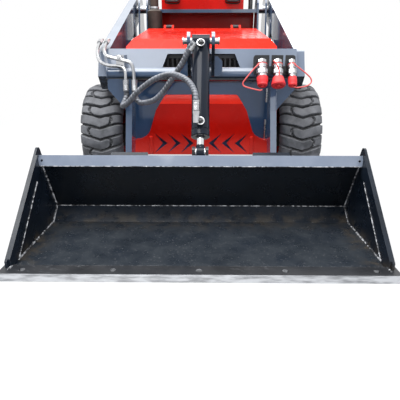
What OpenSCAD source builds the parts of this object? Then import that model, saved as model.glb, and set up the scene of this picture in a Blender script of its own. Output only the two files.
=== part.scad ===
// Mini wheel loader: stand-on, skid-steered, four equal wheels, one tilt cylinder.
// Millimetres. X is across the machine, Y runs to the rear, Z is up.
// The front of the machine faces -Y and the ground is Z = 0.

/* [Wheels] */
// Outer diameter of a tyre over its lugs
tyre_od = 508; // [480:1:530]
// Width of a tyre
tyre_w = 200; // [180:1:204]
// Diameter of the rim's bead seat
rim_d = 254; // [240:1:270]
// Height of the lugs on a tyre
lug_h = 18; // [14:1:26]
// Number of lugs on each side of a tyre
lugs = 15; // [12:1:20]
// Share of the pitch that a lug takes up
lug_share = 0.38; // [0.3:0.01:0.42]
// How far a lug reaches past the middle of the tread
lug_past = 46; // [20:1:60]
// Angle by which a lug rises from the middle to the shoulder
lug_lean = 7; // [0:0.5:12]
// Distance between the wheel centres across the machine
track = 942; // [940:1:980]
// Distance between the front and rear axles
wheelbase = 720; // [690:1:740]
// Place of the front axle along the machine
front_axle_y = -78; // [-90:1:-60]

/* [Chassis] */
// Outside width of the chassis box
chassis_w = 712; // [690:1:712]
// Thickness of the chassis side plates
side_t = 10; // [6:1:14]
// Height of the belly plate above the ground
belly_z = 165; // [140:1:190]
// Place of the front panel's face
panel_y = -215; // [-222:1:-208]
// Height of the front panel's top edge
panel_top = 525; // [500:1:530]
// Place of the rear panel's face
rear_y = 818; // [800:1:830]
// Height of the chassis side plates along the engine bay
deck_z = 560; // [540:1:570]

// Thickness of the belly plate
belly_t = 8; // [6:1:12]
// Diameter of a wheel motor's housing
motor_d = 120; // [100:1:130]
// Diameter of a tie-down eye
tie_d = 30; // [24:1:36]

/* [Front cowl] */
// Depth of the cowl in front of the panel
cowl_d = 45; // [30:1:60]
// Width of the cowl at its top edge
cowl_top_w = 332; // [300:1:360]
// Width of the cowl at its foot
cowl_foot_w = 650; // [620:1:660]
// Height of the cowl's top edge
cowl_top = 469; // [450:1:480]
// Thickness of the cowl's sheet
cowl_t = 4; // [3:0.5:6]
// Height of the foot, where the cowl flares out
flare_z = 260; // [250:1:270]
// Radius of the flare
flare_r = 75; // [60:1:90]
// Height of the chevrons' middle
chevron_z = 245; // [235:1:255]
// Height of a chevron from tail to tail
chevron_h = 98; // [80:1:110]
// Distance between one chevron and the next
chevron_step = 63; // [56:1:70]

/* [Hood and console] */
// Width of the hood
hood_w = 702; // [690:1:704]
// Height of the hood's top at its rear edge
hood_top = 800; // [760:1:820]
// Thickness of the hood's skin
hood_t = 5; // [4:1:8]
// How far the hood is above the side plates
hood_gap = 5; // [5:1:8]
// Width of the control console
console_w = 520; // [460:1:560]
// Height of the hood's front edge, below its chamfer
hood_nose = 660; // [640:1:680]
// Width of the chamfer along the hood's top edges
hood_edge = 30; // [20:1:40]
// Width of the grille in the hood's front
grille_w = 440; // [380:1:480]
// Height of the grille in the hood's front
grille_h = 75; // [60:1:80]

/* [Lift arm] */
// Thickness of each arm beam, across the machine
arm_t = 45; // [40:1:50]
// Distance from the middle to the centre of an arm beam
arm_x = 440.5; // [438:0.5:446]
// Height of the lift pivot
pivot_z = 930; // [910:1:950]
// Place of the lift pivot along the machine
pivot_y = 695; // [685:1:705]
// Diameter of the cross tube
tube_od = 60; // [50:1:70]
// Diameter of the lift pivot pins
pivot_pin_d = 50; // [40:1:56]
// Thickness of each drop leg
leg_t = 27; // [20:1:30]
// Distance from the middle to the inner face of a drop leg
leg_x = 308; // [300:1:312]
// Width of the front plate's opening at its foot
window_w = 348; // [300:1:380]
// Height of the front plate along its slope
front_plate_h = 112; // [100:1:120]
// Height of the front plate's opening along its slope
window_h = 68; // [50:1:80]

/* [Cylinders] */
// Outer diameter of the tilt cylinder's barrel
tilt_od = 72; // [60:1:76]
// Diameter of the tilt cylinder's rod
tilt_rod_d = 30; // [25:1:36]
// Outer diameter of a lift cylinder's barrel
lift_od = 60; // [50:1:64]
// Diameter of a lift cylinder's rod
lift_rod_d = 28; // [25:1:30]
// Diameter of the cylinders' pins
pin_d = 25; // [20:1:28]

/* [Bucket] */
// Width inside the bucket
bucket_w = 1192; // [1100:1:1200]
// Thickness of the bucket's plates
plate_t = 8; // [6:1:10]
// Width of the cutting edge
edge_w = 1232; // [1210:1:1240]
// Thickness of the cutting edge
edge_t = 16; // [12:1:20]
// Distance from the middle of the machine to the lip
lip_reach = 1129; // [1120:1:1140]
// Height of the side plates' top
side_top = 320; // [310:1:330]
// Width of the doubler strips along the side plates' front edges
doubler_w = 55; // [40:1:70]
// Diameter of the holes in the side plates
side_hole_d = 14; // [8:1:20]

/* [Platform] */
// Width of the operator's platform
platform_w = 560; // [500:1:620]
// Thickness of the operator's platform
platform_t = 30; // [25:1:40]
// Height of the platform's top
platform_z = 212; // [200:1:240]
// Distance from the middle of the machine to the platform's rear edge
platform_reach = 1129; // [1100:1:1140]

/* [Hidden] */
$fn = 64;

paint = "slategray";
red = "firebrick";
dark = "dimgray";
steel = "silver";

// Places shared by more than one sub-part, each [y, z]
chassis_x = chassis_w / 2;
rear_axle_y = front_axle_y + wheelbase;
axle_z = tyre_od / 2;
front_axle = [front_axle_y, axle_z];
rear_axle = [rear_axle_y, axle_z];
lift_pivot = [pivot_y, pivot_z];
lift_base = [265, 220];
lift_eye = [557.7, 753.4];
tool_pivot = [-535, 110];
tilt_eye = [-645, 286];
tilt_top = [-375, 700];
arm_nose = [-300, 556];
lug_y = -337;
coupler_y = -352;
pipe_y = -362;
ferrule_z = 499;
tube_c = [-295, 564];
cowl_y = panel_y - cowl_d;
cowl_bevel = 38;
hood_front = -200;
hood_rear = 435;
hood_hinge = [hood_rear + 13, hood_top + 8];
platform_hinge = [rear_y + 20, platform_z - platform_t / 2];
hinge_d = 18;
pivot_boss = 68;
ear_t = 9;
ear_gap = arm_t - 2 * ear_t + 4;
flange_d = motor_d + 40;
tie_t = 16;
tie_eye = [chassis_x - 42, belly_z - 25];
lamp_x = 190;
tower_out = 406;
plate_foot = [-316, 571];
plate_lean = 25;
bridge_z = pivot_z - 5;
console_y = pivot_y - 60;
console_back = bridge_z + 167;
console_slope = atan(0.3);
function console_z(y) = console_back - tan(console_slope) * (y - rear_y + 10);
function under_console(y, r) = [y, console_z(y) - r / cos(console_slope)];
tank_top = 760;
tank_foot = belly_z + belly_t;
tank_size = [330, 120];
arm_in = arm_x - arm_t / 2;
arm_out = arm_x + arm_t / 2;
run = 0.3;

// Carries a [y, z] outline across the machine, from x over a thickness of t
module across(x, t) translate([x, 0, 0]) rotate([90, 0, 90]) linear_extrude(t) children();
// Carries an [x, z] outline rearwards from y over a depth of d
module back(y, d) translate([0, y + d, 0]) rotate([90, 0, 0]) linear_extrude(d) children();
// A shape on the left and its mirror image on the right
module both() { children(); mirror([1, 0, 0]) children(); }
// A round bar across the machine at [y, z], from x over a length of w
module bar_x(c, x, w, d) translate([x, c[0], c[1]]) rotate([0, 90, 0]) cylinder(d = d, h = w);
// Points along an arc about c, from angle a0 to a1
function arc(c, r, a0, a1, n = 16) =
    [for (i = [0:n]) let (a = a0 + (a1 - a0) * i / n) c + r * [cos(a), sin(a)]];
// The outline of a strap round two discs, in the [y, z] plane
function strap(a, b, ra, rb) = let (
    d = b - a,
    turn = atan2(d[1], d[0]),
    side = acos((ra - rb) / norm(d))
) concat(arc(a, ra, turn + side, turn + 360 - side), arc(b, rb, turn - side, turn + side));
module link(a, b, ra, rb) polygon(strap(a, b, ra, rb));
// An outline and its mirror image, from the outline's right half
function mirrored(p) = concat(p, [for (i = [len(p) - 1:-1:0]) [-p[i].x, p[i].y]]);
// A rectangle with round corners, about its middle
module rounded(w, h, r) polygon(concat(
    arc([w / 2 - r, h / 2 - r], r, 0, 90, 5), arc([r - w / 2, h / 2 - r], r, 90, 180, 5),
    arc([r - w / 2, r - h / 2], r, 180, 270, 5), arc([w / 2 - r, r - h / 2], r, 270, 360, 5)
));

// Sweeps a round tube along a route of points
function unit(v) = v / norm(v);
function slopes(p) = [for (i = [0:len(p) - 1]) unit(p[min(i + 1, len(p) - 1)] - p[max(i - 1, 0)])];
function carried(t, i, n) =
    i == len(t) ? [] : let (m = unit(n - (n * t[i]) * t[i])) concat([m], carried(t, i + 1, m));
function spline(a, b, c, d, u) = 0.5 * (2 * b + (c - a) * u + (2 * a - 5 * b + 4 * c - d) * u * u
    + (3 * b - a - 3 * c + d) * u * u * u);
function smooth(p, steps) = concat([for (i = [0:len(p) - 2], s = [0:steps - 1])
    spline(p[max(i - 1, 0)], p[i], p[i + 1], p[min(i + 2, len(p) - 1)], s / steps)],
    [p[len(p) - 1]]);
module tube(p, r, sides = 10) {
    t = slopes(p);
    n = carried(t, 0, abs(t[0].x) < 0.8 ? [1, 0, 0] : [0, 1, 0]);
    rings = len(p);
    points = [for (i = [0:rings - 1], k = [0:sides - 1]) let (a = 360 * k / sides)
        p[i] + r * (cos(a) * n[i] + sin(a) * cross(t[i], n[i]))];
    walls = [for (i = [0:rings - 2], k = [0:sides - 1]) let (j = (k + 1) % sides)
        [i * sides + k, (i + 1) * sides + k, (i + 1) * sides + j, i * sides + j]];
    ends = [[for (k = [0:sides - 1]) k], [for (k = [sides - 1:-1:0]) (rings - 1) * sides + k]];
    polyhedron(points, concat(walls, ends));
}

// ---------------------------------------------------------------- chassis

module chassis_frame() color(paint) difference() {
    union() {
        both() {
            difference() {
                across(chassis_x - side_t, side_t) polygon([
                    [panel_y + 8, belly_z + 30], [panel_y + 8, panel_top - 5],
                    [panel_y + 60, deck_z], [rear_y - 8, deck_z], [rear_y - 8, belly_z + 30],
                    [rear_y - 60, belly_z], [panel_y + 60, belly_z]
                ]);
                for (c = [front_axle, rear_axle])
                    bar_x(c, chassis_x - side_t - 1, side_t + 2, motor_d + 1);
            }
            // Bracket that holds the foot of the lift cylinder between two ears
            for (x = [arm_x - 32, arm_x + 20])
                across(x, 12) link(lift_base, lift_base + [0, -20], 30, 30);
            translate([chassis_x, lift_base[0] - 40, lift_base[1] - 50])
                cube([arm_x + 32 - chassis_x, 80, 14]);
            bar_x(lift_base, arm_x - 34, 68, pin_d);
            // Buffer that the hood rests on
            translate([chassis_x - side_t, hood_front + 30, deck_z])
                cube([side_t, 24, hood_gap - run]);
            // Ear for the platform's hinge
            across(platform_w / 2 + 2, 12)
                link([rear_y - 26, belly_z + 26], platform_hinge, 20, 18);
            // Tab for a tie-down hook or shackle, below the rear cross member
            back(rear_y - 8 - tie_t, tie_t) link(tie_eye + [0, 46], tie_eye, tie_d, tie_d);
        }
        translate([-chassis_x + side_t, panel_y + 60, belly_z])
            cube([chassis_w - 2 * side_t, rear_y - panel_y - 120, belly_t]);
        // Cross members, each [y, depth, height]
        for (c = [[-20, 60, 50], [lift_base[0] - 40, 60, 50], [rear_y - 60, 52, 50]])
            translate([-chassis_x + side_t, c[0], belly_z + belly_t - 0.01])
                cube([chassis_w - 2 * side_t, c[1], c[2]]);
    }
    both() {
        bar_x(platform_hinge, platform_w / 2 - 10, 60, hinge_d + 2 * run);
        back(rear_y - 9 - tie_t, tie_t + 2) translate(tie_eye) circle(d = tie_d);
    }
}

module front_panel() color(paint)
    back(panel_y, 8) polygon(mirrored(concat(
        [[chassis_x, belly_z + 20]], arc([chassis_x - 20, panel_top - 20], 20, 0, 90, 6)
    )));

// Outline of the cowl, drawn in by d
function cowl_outline(d) = mirrored(concat(
    [[cowl_foot_w / 2 - d, belly_z + 25 - 2 * d]],
    arc([cowl_foot_w / 2 - 12, flare_z - 12], 12 - d, 0, 80, 5),
    arc([cowl_foot_w / 2 - 12, flare_z + flare_r], flare_r + d, 265, 200, 10),
    [[213 - d, 401]],
    arc([cowl_top_w / 2 - 4, cowl_top - 16], 16 - d, 25, 90, 6)
));
// What lies above the bevel, which runs d inside the real one
module above_bevel(d) translate([-cowl_foot_w, cowl_y, cowl_top - cowl_bevel - d * sqrt(2)])
    rotate([45, 0, 0]) cube([2 * cowl_foot_w, 120, 120]);
// A chevron whose thick tip points to the middle
module chevron(x) polygon([
    [x, chevron_z], [x + 64, chevron_z + chevron_h / 2], [x + 24, chevron_z], [x + 64, chevron_z - chevron_h / 2]
]);

module front_cowl() color(red) {
    difference() {
        back(cowl_y, cowl_d) polygon(cowl_outline(0));
        above_bevel(0);
        // The hollow behind the sheet
        difference() {
            back(cowl_y + cowl_t, cowl_d) polygon(cowl_outline(cowl_t));
            above_bevel(cowl_t);
        }
        back(cowl_y - 1, cowl_t + 2) both() for (i = [0:2]) chevron(36 + i * chevron_step);
    }
    // Half-round ribs beside the chevrons
    both() translate([242, cowl_y + 1, 192]) cylinder(d = 14, h = 86);
}

module arm_towers() color(paint) {
    both() {
        for (x = [chassis_x - side_t, tower_out - side_t])
            difference() {
                union() {
                    across(x, side_t) polygon(concat(
                        [[rear_y - 8, deck_z], [rear_y - 20, deck_z + 200]], arc(lift_pivot, 76, 12, 168),
                        [[pivot_y - 110, deck_z + 200], [pivot_y - 120, deck_z]]
                    ));
                    if (x > chassis_x) bar_x(lift_pivot, x, side_t + 6, pivot_pin_d + 44);
                }
                bar_x(lift_pivot, x - 1, side_t + 8, pivot_pin_d + 2 * run);
            }
        // Wrapper plates that close the tower's front and rear
        for (y = [pivot_y - 116, rear_y - 28])
            translate([chassis_x, y, deck_z]) cube([tower_out - side_t - chassis_x, 8, 180]);
    }
    // Bridge that joins the towers and carries the console
    translate([-chassis_x + side_t, pivot_y - 60, bridge_z - 20])
        cube([chassis_w - 2 * side_t, rear_y - 8 - pivot_y + 60, 20]);
}

module side_covers() color(red) both() difference() {
    across(chassis_x, 8) polygon([
        [panel_y + 8, 297], [panel_y + 8, 415], [panel_y + 60, deck_z - 6],
        [pivot_y - 130, deck_z - 6], [pivot_y - 130, 297]
    ]);
    for (c = [front_axle, rear_axle]) bar_x(c, chassis_x - 1, 10, flange_d + 10);
    // Two banks of slots that let the engine bay breathe
    for (y = [110, 330], i = [0:4])
        translate([chassis_x - 1, y, 400 + 24 * i]) cube([10, 150, 10]);
}

module engine_block() color(dark)
    translate([-190, -45, belly_z + belly_t + 50]) cube([380, 410, 400]);

module tank(x) {
    translate([x, hood_rear + 15 + tank_size[1] / 2, tank_foot])
        linear_extrude(tank_top - tank_foot) rounded(tank_size[0], tank_size[1], 18);
    translate([x - sign(x) * 60, hood_rear + 15 + tank_size[1] / 2, tank_top]) {
        cylinder(d = 52, h = 8);
        translate([0, 0, 8]) cylinder(d = 66, h = 18);
    }
}
module fuel_tank() color(dark) tank(tank_size[0] / 2 + 5);

module hydraulic_tank() color(paint) tank(-tank_size[0] / 2 - 5);

module rear_panel() color(red) back(rear_y - 8, 8) difference() {
    translate([-chassis_x + side_t, belly_z + 60])
        square([chassis_w - 2 * side_t, bridge_z - belly_z - 60]);
    // Slots that let the cooling air out
    both() for (i = [0:6]) translate([25, 420 + 28 * i]) square([230, 12]);
}

module exhaust() color(dark) translate([-290, hood_rear + 60, tank_top]) difference() {
    union() {
        rotate_extrude() polygon([[0, 0], [34, 0], [34, 8], [25, 8], [25, 20], [45, 32], [45, 138], [25, 150], [0, 150]]);
        cylinder(d = 50, h = 240);
    }
    translate([0, 0, 170]) cylinder(d = 42, h = 100);
    // The outlet is cut on a slant and faces the rear
    translate([-40, -25, 240]) rotate([-45, 0, 0]) cube([80, 100, 60]);
}

module wheel_motors() color(dark) both() for (c = [front_axle, rear_axle]) {
    bar_x(c, chassis_x - 90, 142, motor_d);
    bar_x(c, chassis_x, 10, flange_d);
    bar_x(c, chassis_x, 80, 40);
}

module console() color(red) difference() {
    across(-console_w / 2, console_w) polygon(concat(
        [[rear_y - 10, bridge_z]], arc(under_console(rear_y - 30, 20), 20, 0, 90 - console_slope, 5),
        arc(under_console(pivot_y - 16, 28), 28, 90 - console_slope, 150, 6),
        [[pivot_y - 60, bridge_z + 125], [pivot_y - 60, bridge_z]]
    ));
    // Recess for the gauge, and one on each side for the hand
    translate([0, pivot_y + 50, console_z(pivot_y + 50) - 14]) cylinder(d = 64, h = 60);
    both() across(console_w / 2 - 20, 30) translate([pivot_y + 40, bridge_z + 70]) rounded(70, 60, 14);
}

module levers() color(dark)
    // Each lever is [distance from the middle, height of its knob], square to the console's top
    for (l = [[-200, 104.6], [-150, 104.6], [150, 104.6], [200, 86]], y = pivot_y + 40)
        translate([l[0], y, console_z(y) + run]) rotate([-console_slope, 0, 0]) rotate_extrude() polygon(concat(
            [[0, 0], [19, 0], [19, 4], [9, 22], [5, 26]], arc([0, l[1] - 18], 18, -70, 90, 8)
        ));

module grab_rail() color(dark)
    tube(smooth([
        [-325, rear_y + 15 + run, 730], [-325, rear_y + 16, 800], [-325, rear_y + 34, 900],
        [-325, rear_y + 40, 1030], [-305, rear_y + 40, 1105], [-240, rear_y + 40, 1130],
        [0, rear_y + 40, 1130], [240, rear_y + 40, 1130], [305, rear_y + 40, 1105],
        [325, rear_y + 40, 1030], [325, rear_y + 34, 900], [325, rear_y + 16, 800],
        [325, rear_y + 15 + run, 730]
    ], 3), 15);

module thigh_pad() color(dark)
    translate([-200, rear_y + run, 780]) cube([400, 45, 120]);

// Each lamp is a finned box with a lens sunk in its front
module work_lamps() color(dark) both() translate([lamp_x, console_y - 45, bridge_z + 70]) difference() {
    union() {
        translate([0, 30, 0]) rotate([90, 0, 0]) linear_extrude(30) rounded(80, 60, 10);
        for (i = [-2:2]) translate([i * 16 - 3, 29, -24]) cube([6, 16, 48]);
    }
    translate([0, 4, 0]) rotate([90, 0, 0]) linear_extrude(5) rounded(66, 46, 6);
}

// ---------------------------------------------------------------- hood

// The hood's outer form, drawn in by d
module hood_form(d) {
    slope = atan((hood_top - hood_nose - 60) / (hood_rear - hood_front - 60));
    difference() {
        across(-hood_w / 2 + d, hood_w - 2 * d) polygon([
            [hood_front + d, deck_z + hood_gap - d], [hood_front + d, hood_nose - d / 2],
            [hood_front + 60 + d / 2, hood_nose + 60 - d], [hood_rear + d, hood_top - d],
            [hood_rear + d, deck_z + hood_gap - d]
        ]);
        // Chamfers along the top edges
        both() translate([hood_w / 2 - hood_edge - d / 2, hood_front - 100, hood_nose + 60])
            translate([0, 160, 0]) rotate([slope, 0, 0]) translate([0, -200, 0])
            rotate([0, 45, 0]) cube([200, 1000, 200]);
    }
}

module hood() color(red) {
    difference() {
        hood_form(0);
        hood_form(hood_t);
        back(hood_front - 1, hood_t + 2) translate([0, 575 + grille_h / 2]) rounded(grille_w - 30, grille_h - 30, 8);
        // Slots above the engine
        for (x = [-210, 30], i = [0:5]) translate([x, 60 + 34 * i, hood_nose]) cube([180, 14, 200]);
    }
    both() for (x = [170, 218])
        difference() {
            across(x, 12) link(hood_hinge, [hood_rear - 20, hood_top - 8], 12, 8);
            bar_x(hood_hinge, x - 1, 14, 10 + 2 * run);
        }
}

// Hinge knuckles that stand on the tanks and carry the hood
module hood_hinges() color(dark) both() {
    across(182 + run, 36 - 2 * run) {
        link(hood_hinge, [hood_rear + 30, tank_top + 20], 12, 14);
        translate([hood_rear + 16, tank_top]) square([60, 20]);
    }
    bar_x(hood_hinge, 168, 64, 10);
}

module hood_grille() color(dark) translate([0, 0, 575 + grille_h / 2]) {
    back(hood_front - 8, 8 - run) difference() {
        rounded(grille_w, grille_h, 14);
        rounded(grille_w - 36, grille_h - 36, 6);
    }
    // Upright bars between the frame's rails
    for (i = [-8:8]) back(hood_front - 6, 6 - run)
        translate([i * (grille_w - 40) / 18 - 4, -grille_h / 2 + 10]) square([8, grille_h - 20]);
}

// ---------------------------------------------------------------- platform

module platform() color(dark) {
    difference() {
        translate([0, 0, platform_z - platform_t]) linear_extrude(platform_t) polygon(mirrored(concat(
            [[platform_w / 2, platform_hinge[0] + 8]],
            arc([platform_w / 2 - 45, platform_reach - 45], 45, 0, 90, 6)
        )));
        // Pockets between the ribs below
        for (i = [0:3]) translate([-platform_w / 2 + 12 + i * (platform_w - 12) / 4, platform_hinge[0] + 24,
            platform_z - platform_t - 1]) cube([(platform_w - 12) / 4 - 12, platform_reach - platform_hinge[0] - 80, platform_t - 6]);
    }
    bar_x(platform_hinge, -platform_w / 2 - 16, platform_w + 32, hinge_d);
}

// ---------------------------------------------------------------- lift arm

module lift_arm() color(paint) {
    both() {
        difference() {
            across(arm_in, arm_t) polygon(concat(
                [arm_nose, arm_nose + [56, -60]], arc(lift_pivot, pivot_boss, -67, 108),
                arc(arm_nose + [front_plate_h * sin(plate_lean) + 12, front_plate_h * cos(plate_lean) - 4],
                    14, 108, 155, 4)
            ));
            bar_x(lift_pivot, arm_in - 1, arm_t + 2, pivot_pin_d + 0.2);
            // Relief in the beam's underside for the rod's eye
            bar_x(lift_eye + [28, 38], arm_in - 2 + ear_t, ear_gap, 70);
        }
        // Ears for the lift cylinder's eye
        for (x = [arm_in - 2, arm_out + 2 - ear_t])
            across(x, ear_t) link(lift_eye, lift_eye + [-20, 70], 26, 34);
        // Drop leg
        difference() {
            across(leg_x, leg_t) polygon(concat(
                [[-318, 545], [-363, 410], [-426, 237]], arc(tool_pivot, 42, 130, 300),
                [[-355, 175], [-292, 300], [-262, 420], [-270, 560]]
            ));
            bar_x(tool_pivot, leg_x - 1, leg_t + 2, 40.2);
        }
        back(-318, 12) polygon([
            [arm_in, 500], [arm_in, 590], [leg_x + leg_t, 590], [leg_x + leg_t, 402]
        ]);
        // Tilt cylinder lug
        difference() {
            across(44, 14) polygon(concat(
                [[-300, 545], [lug_y, 558]], arc(tilt_top, 36, 215, 80), [[-265, 690]]
            ));
            bar_x(tilt_top, 43, 16, pin_d + 0.2);
        }
        // Flange that stiffens the lug, round at its foot
        back(lug_y, 12) polygon(concat(
            [[44, 640], [44, 582]], arc([68, 582], 24, 180, 360, 8), [[92, 620], [72, 640]]
        ));
    }
    bar_x(tube_c, -arm_in - 1, 2 * arm_in + 2, tube_od);
    // Front plate, whose opening narrows upwards behind the tilt cylinder
    translate([0, plate_foot[0], plate_foot[1]]) rotate([-plate_lean, 0, 0]) back(0, 12) difference() {
        translate([-arm_in - 6, 0]) square([2 * arm_in + 12, front_plate_h]);
        polygon(mirrored([[window_w / 2, 20], [window_w / 2 - 24, 20 + window_h]]));
    }
}

module arm_pins() color(steel) both() {
    bar_x(lift_pivot, chassis_x - side_t, arm_out - chassis_x + side_t + 8, pivot_pin_d);
    bar_x(lift_pivot, arm_out + run, 10, 84);
}

module tilt_pin() color(steel) bar_x(tilt_top, -72, 144, pin_d);

module coupler_bracket() color(dark) difference() {
    union() {
        back(coupler_y, 8) difference() {
            translate([315, 605]) rounded(180, 80, 12);
            translate([293, 600]) square([10, 46]);
            translate([352, 600]) square([10, 46]);
        }
        for (x = [240, 370]) translate([x, coupler_y, 556]) cube([20, 60, 16]);
    }
    bar_x(tube_c, 200, 230, tube_od + 2 * run);
}

// Each coupler is [place across, diameter of its sleeve, diameter of its cap's end]
couplers = [[260, 46, 42], [327, 42, 60], [387, 34, 36]];
coupler_len = 80;
module at_coupler(c) translate([c[0], coupler_y - 8, 625]) rotate([150, 0, 0]) children();

module quick_couplers() color(steel) difference() {
    for (c = couplers, r = c[1] / 2) at_coupler(c) rotate_extrude() polygon([
        [0, 0], [r * 0.66, 0], [r * 0.66, 16], [r, 26], [r, 40], [r - 2, 41], [r - 2, 45], [r, 46],
        [r, 66], [r - 3, 70], [r - 3, coupler_len], [0, coupler_len]
    ]);
    translate([200, coupler_y - run, 500]) cube([240, 60, 200]);
}

// Rubber caps over the couplers' mouths, each with a nub for its tether
module coupler_caps() color(red) for (c = couplers, r = c[1] / 2 + 1, e = c[2] / 2) at_coupler(c)
    rotate_extrude() polygon([
        [0, coupler_len], [r, coupler_len], [(r + e) / 2 + 1, 98], [e, 110], [e, 116], [e - 4, 120],
        [e * 0.5, 120], [e * 0.5, 114], [e * 0.3, 114], [e * 0.3, 120], [0, 120]
    ]);

module steel_pipes() color(steel) {
    tube(smooth([
        [-455, -200, 712], [-455, -250, 700], [-455, -305, 664], [-440, -345, 622],
        [-400, -360, 603], [-345, pipe_y, 598], [-328, pipe_y, 580], [-328, pipe_y, 540]
    ], 3), 7.5, 8);
    tube(smooth([
        [-425, -200, 712], [-425, -250, 700], [-425, -305, 667], [-410, -348, 645],
        [-386, pipe_y, 636], [-340, pipe_y, 625], [-305, pipe_y, 615], [-293, pipe_y, 590], [-291, pipe_y, 542]
    ], 3), 7.5, 8);
    // Nut and ferrule at the head of each hose
    for (x = [-328, -291]) translate([x, pipe_y, ferrule_z + 3 * run]) {
        cylinder(d = 25, h = 30);
        translate([0, 0, 30]) cylinder(d = 28, h = 14, $fn = 6);
    }
}

// Block that holds the pipes off the front plate
module pipe_clamp() color(dark) across(-366, 34) polygon([
    for (c = [[0, 597], [0, 646], [1, 646], [1, 597]])
        [c[0] == 0 ? pipe_y + 7.6 : plate_foot[0] + (c[1] - plate_foot[1]) * tan(plate_lean) - run, c[1]]
]);

// The routes run from the pipe to the cylinder's port
rod_hose = [
    [-328, -362, ferrule_z], [-328, -362, 490], [-328, -364, 474], [-337, -390, 446], [-336, -418, 438],
    [-308, -438, 456], [-266, -455, 498], [-212, -468, 538], [-175, -472, 558], [-138, -478, 569],
    [-104, -492, 570], [-70, -522, 560], [-42, -556, 542], [-26, -588, 520], [-18, -616, 499],
    [-16, -633, 475], [-16, -634, 450]
];
base_hose = [
    [-291, -362, ferrule_z], [-290, -363, 474], [-272, -374, 450], [-240, -384, 450],
    [-198, -400, 464], [-155, -414, 504], [-122, -428, 548], [-92, -438, 590],
    [-70, -445, 622], [-56, -450, 650], [-42, -456, 676], [-24, -458, 692]
];
module tilt_hose_rod() color("gray") tube(smooth(rod_hose, 4), 12);
module tilt_hose_base() color("gray") tube(smooth(base_hose, 4), 12);

// ---------------------------------------------------------------- cylinders

// A barrel from its foot towards the rod's eye, with an eye at the foot and a neck between them
module barrel(foot, eye, od, rod_d, len, w, neck) {
    gland = 26;
    d = eye - foot;
    ang = atan2(d[1], d[0]);
    difference() {
        union() {
            bar_x(foot, -w / 2, w, pin_d + 26);
            translate([0, foot[0], foot[1]]) rotate([ang - 90, 0, 0]) {
                translate([0, 0, pin_d / 2 + 4]) cylinder(d = w - 2, h = neck);
                // The tube, with a groove where the gland screws in
                rotate_extrude() polygon([
                    [0, neck], [od / 2 - 3, neck], [od / 2, neck + 3], [od / 2, len - gland - 3],
                    [od / 2 - 2, len - gland - 2], [od / 2 - 2, len - gland + 2], [od / 2, len - gland + 3],
                    [od / 2, len - 3], [od / 2 - 3, len], [0, len]
                ]);
            }
        }
        bar_x(foot, -w, 2 * w, pin_d + 0.2);
        translate([0, foot[0], foot[1]]) rotate([ang - 90, 0, 0])
            translate([0, 0, neck + 14]) cylinder(d = rod_d + 2 * run, h = len);
    }
}

// A rod from its eye back into the barrel over a length of len, with its pin. The rod is thick
// from its shoulder on, which clears the ears that hold the pin.
module rod(foot, eye, d, len, w, pin_w, shoulder) {
    v = foot - eye;
    bar_x(eye, -w / 2, w, pin_d + 24);
    bar_x(eye, -pin_w / 2, pin_w, pin_d);
    translate([0, eye[0], eye[1]]) rotate([atan2(v[1], v[0]) - 90, 0, 0]) {
        translate([0, 0, pin_d / 2 + 4]) cylinder(d = min(d, w), h = shoulder);
        translate([0, 0, shoulder]) cylinder(d = d, h = len - shoulder);
    }
}

module lift_barrel(side) color(dark) translate([side * arm_x, 0, 0])
    barrel(lift_base, lift_eye, lift_od, lift_rod_d, 540, 36, 36);
module lift_rod(side) color(steel) translate([side * arm_x, 0, 0])
    rod(lift_base, lift_eye, lift_rod_d, 540, ear_gap - 3, ear_gap - 2 * run, 33);
module lift_barrel_left() lift_barrel(1);
module lift_barrel_right() lift_barrel(-1);
module lift_rod_left() lift_rod(1);
module lift_rod_right() lift_rod(-1);
module tilt_barrel() color(dark) {
    barrel(tilt_top, tilt_eye, tilt_od, tilt_rod_d, 430, 74, 20);
    // Ports on the front of the barrel, each at its distance from the top pin
    for (s = [45, 385]) translate([0, tilt_top[0], tilt_top[1]])
        rotate([atan2(tilt_eye[1] - tilt_top[1], tilt_eye[0] - tilt_top[0]) - 90, 0, 0])
            translate([0, 0, s]) rotate([-90, 0, 0]) translate([0, 0, tilt_od / 2 - 4])
                cylinder(d = 27, h = 26);
    // Ferrule that stands on the lower port
    translate([-16, -634, 402]) cylinder(d = 25, h = 47);
}
module tilt_rod() color(steel) rod(tilt_top, tilt_eye, tilt_rod_d, 405, 34, 40 - 2 * run, 30);

// ---------------------------------------------------------------- tool

// Places in the frame of the bucket's rear wall: u up the wall, w behind it
wall_foot = [-619, 56];
wall_top = [-713, 246];
wall_u = unit(wall_top - wall_foot);
wall_w = [wall_u[1], -wall_u[0]];
seat_w = 38;
plate_back = seat_w + 12;
function on_wall(u, w) = wall_foot + u * wall_u + w * wall_w;

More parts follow.
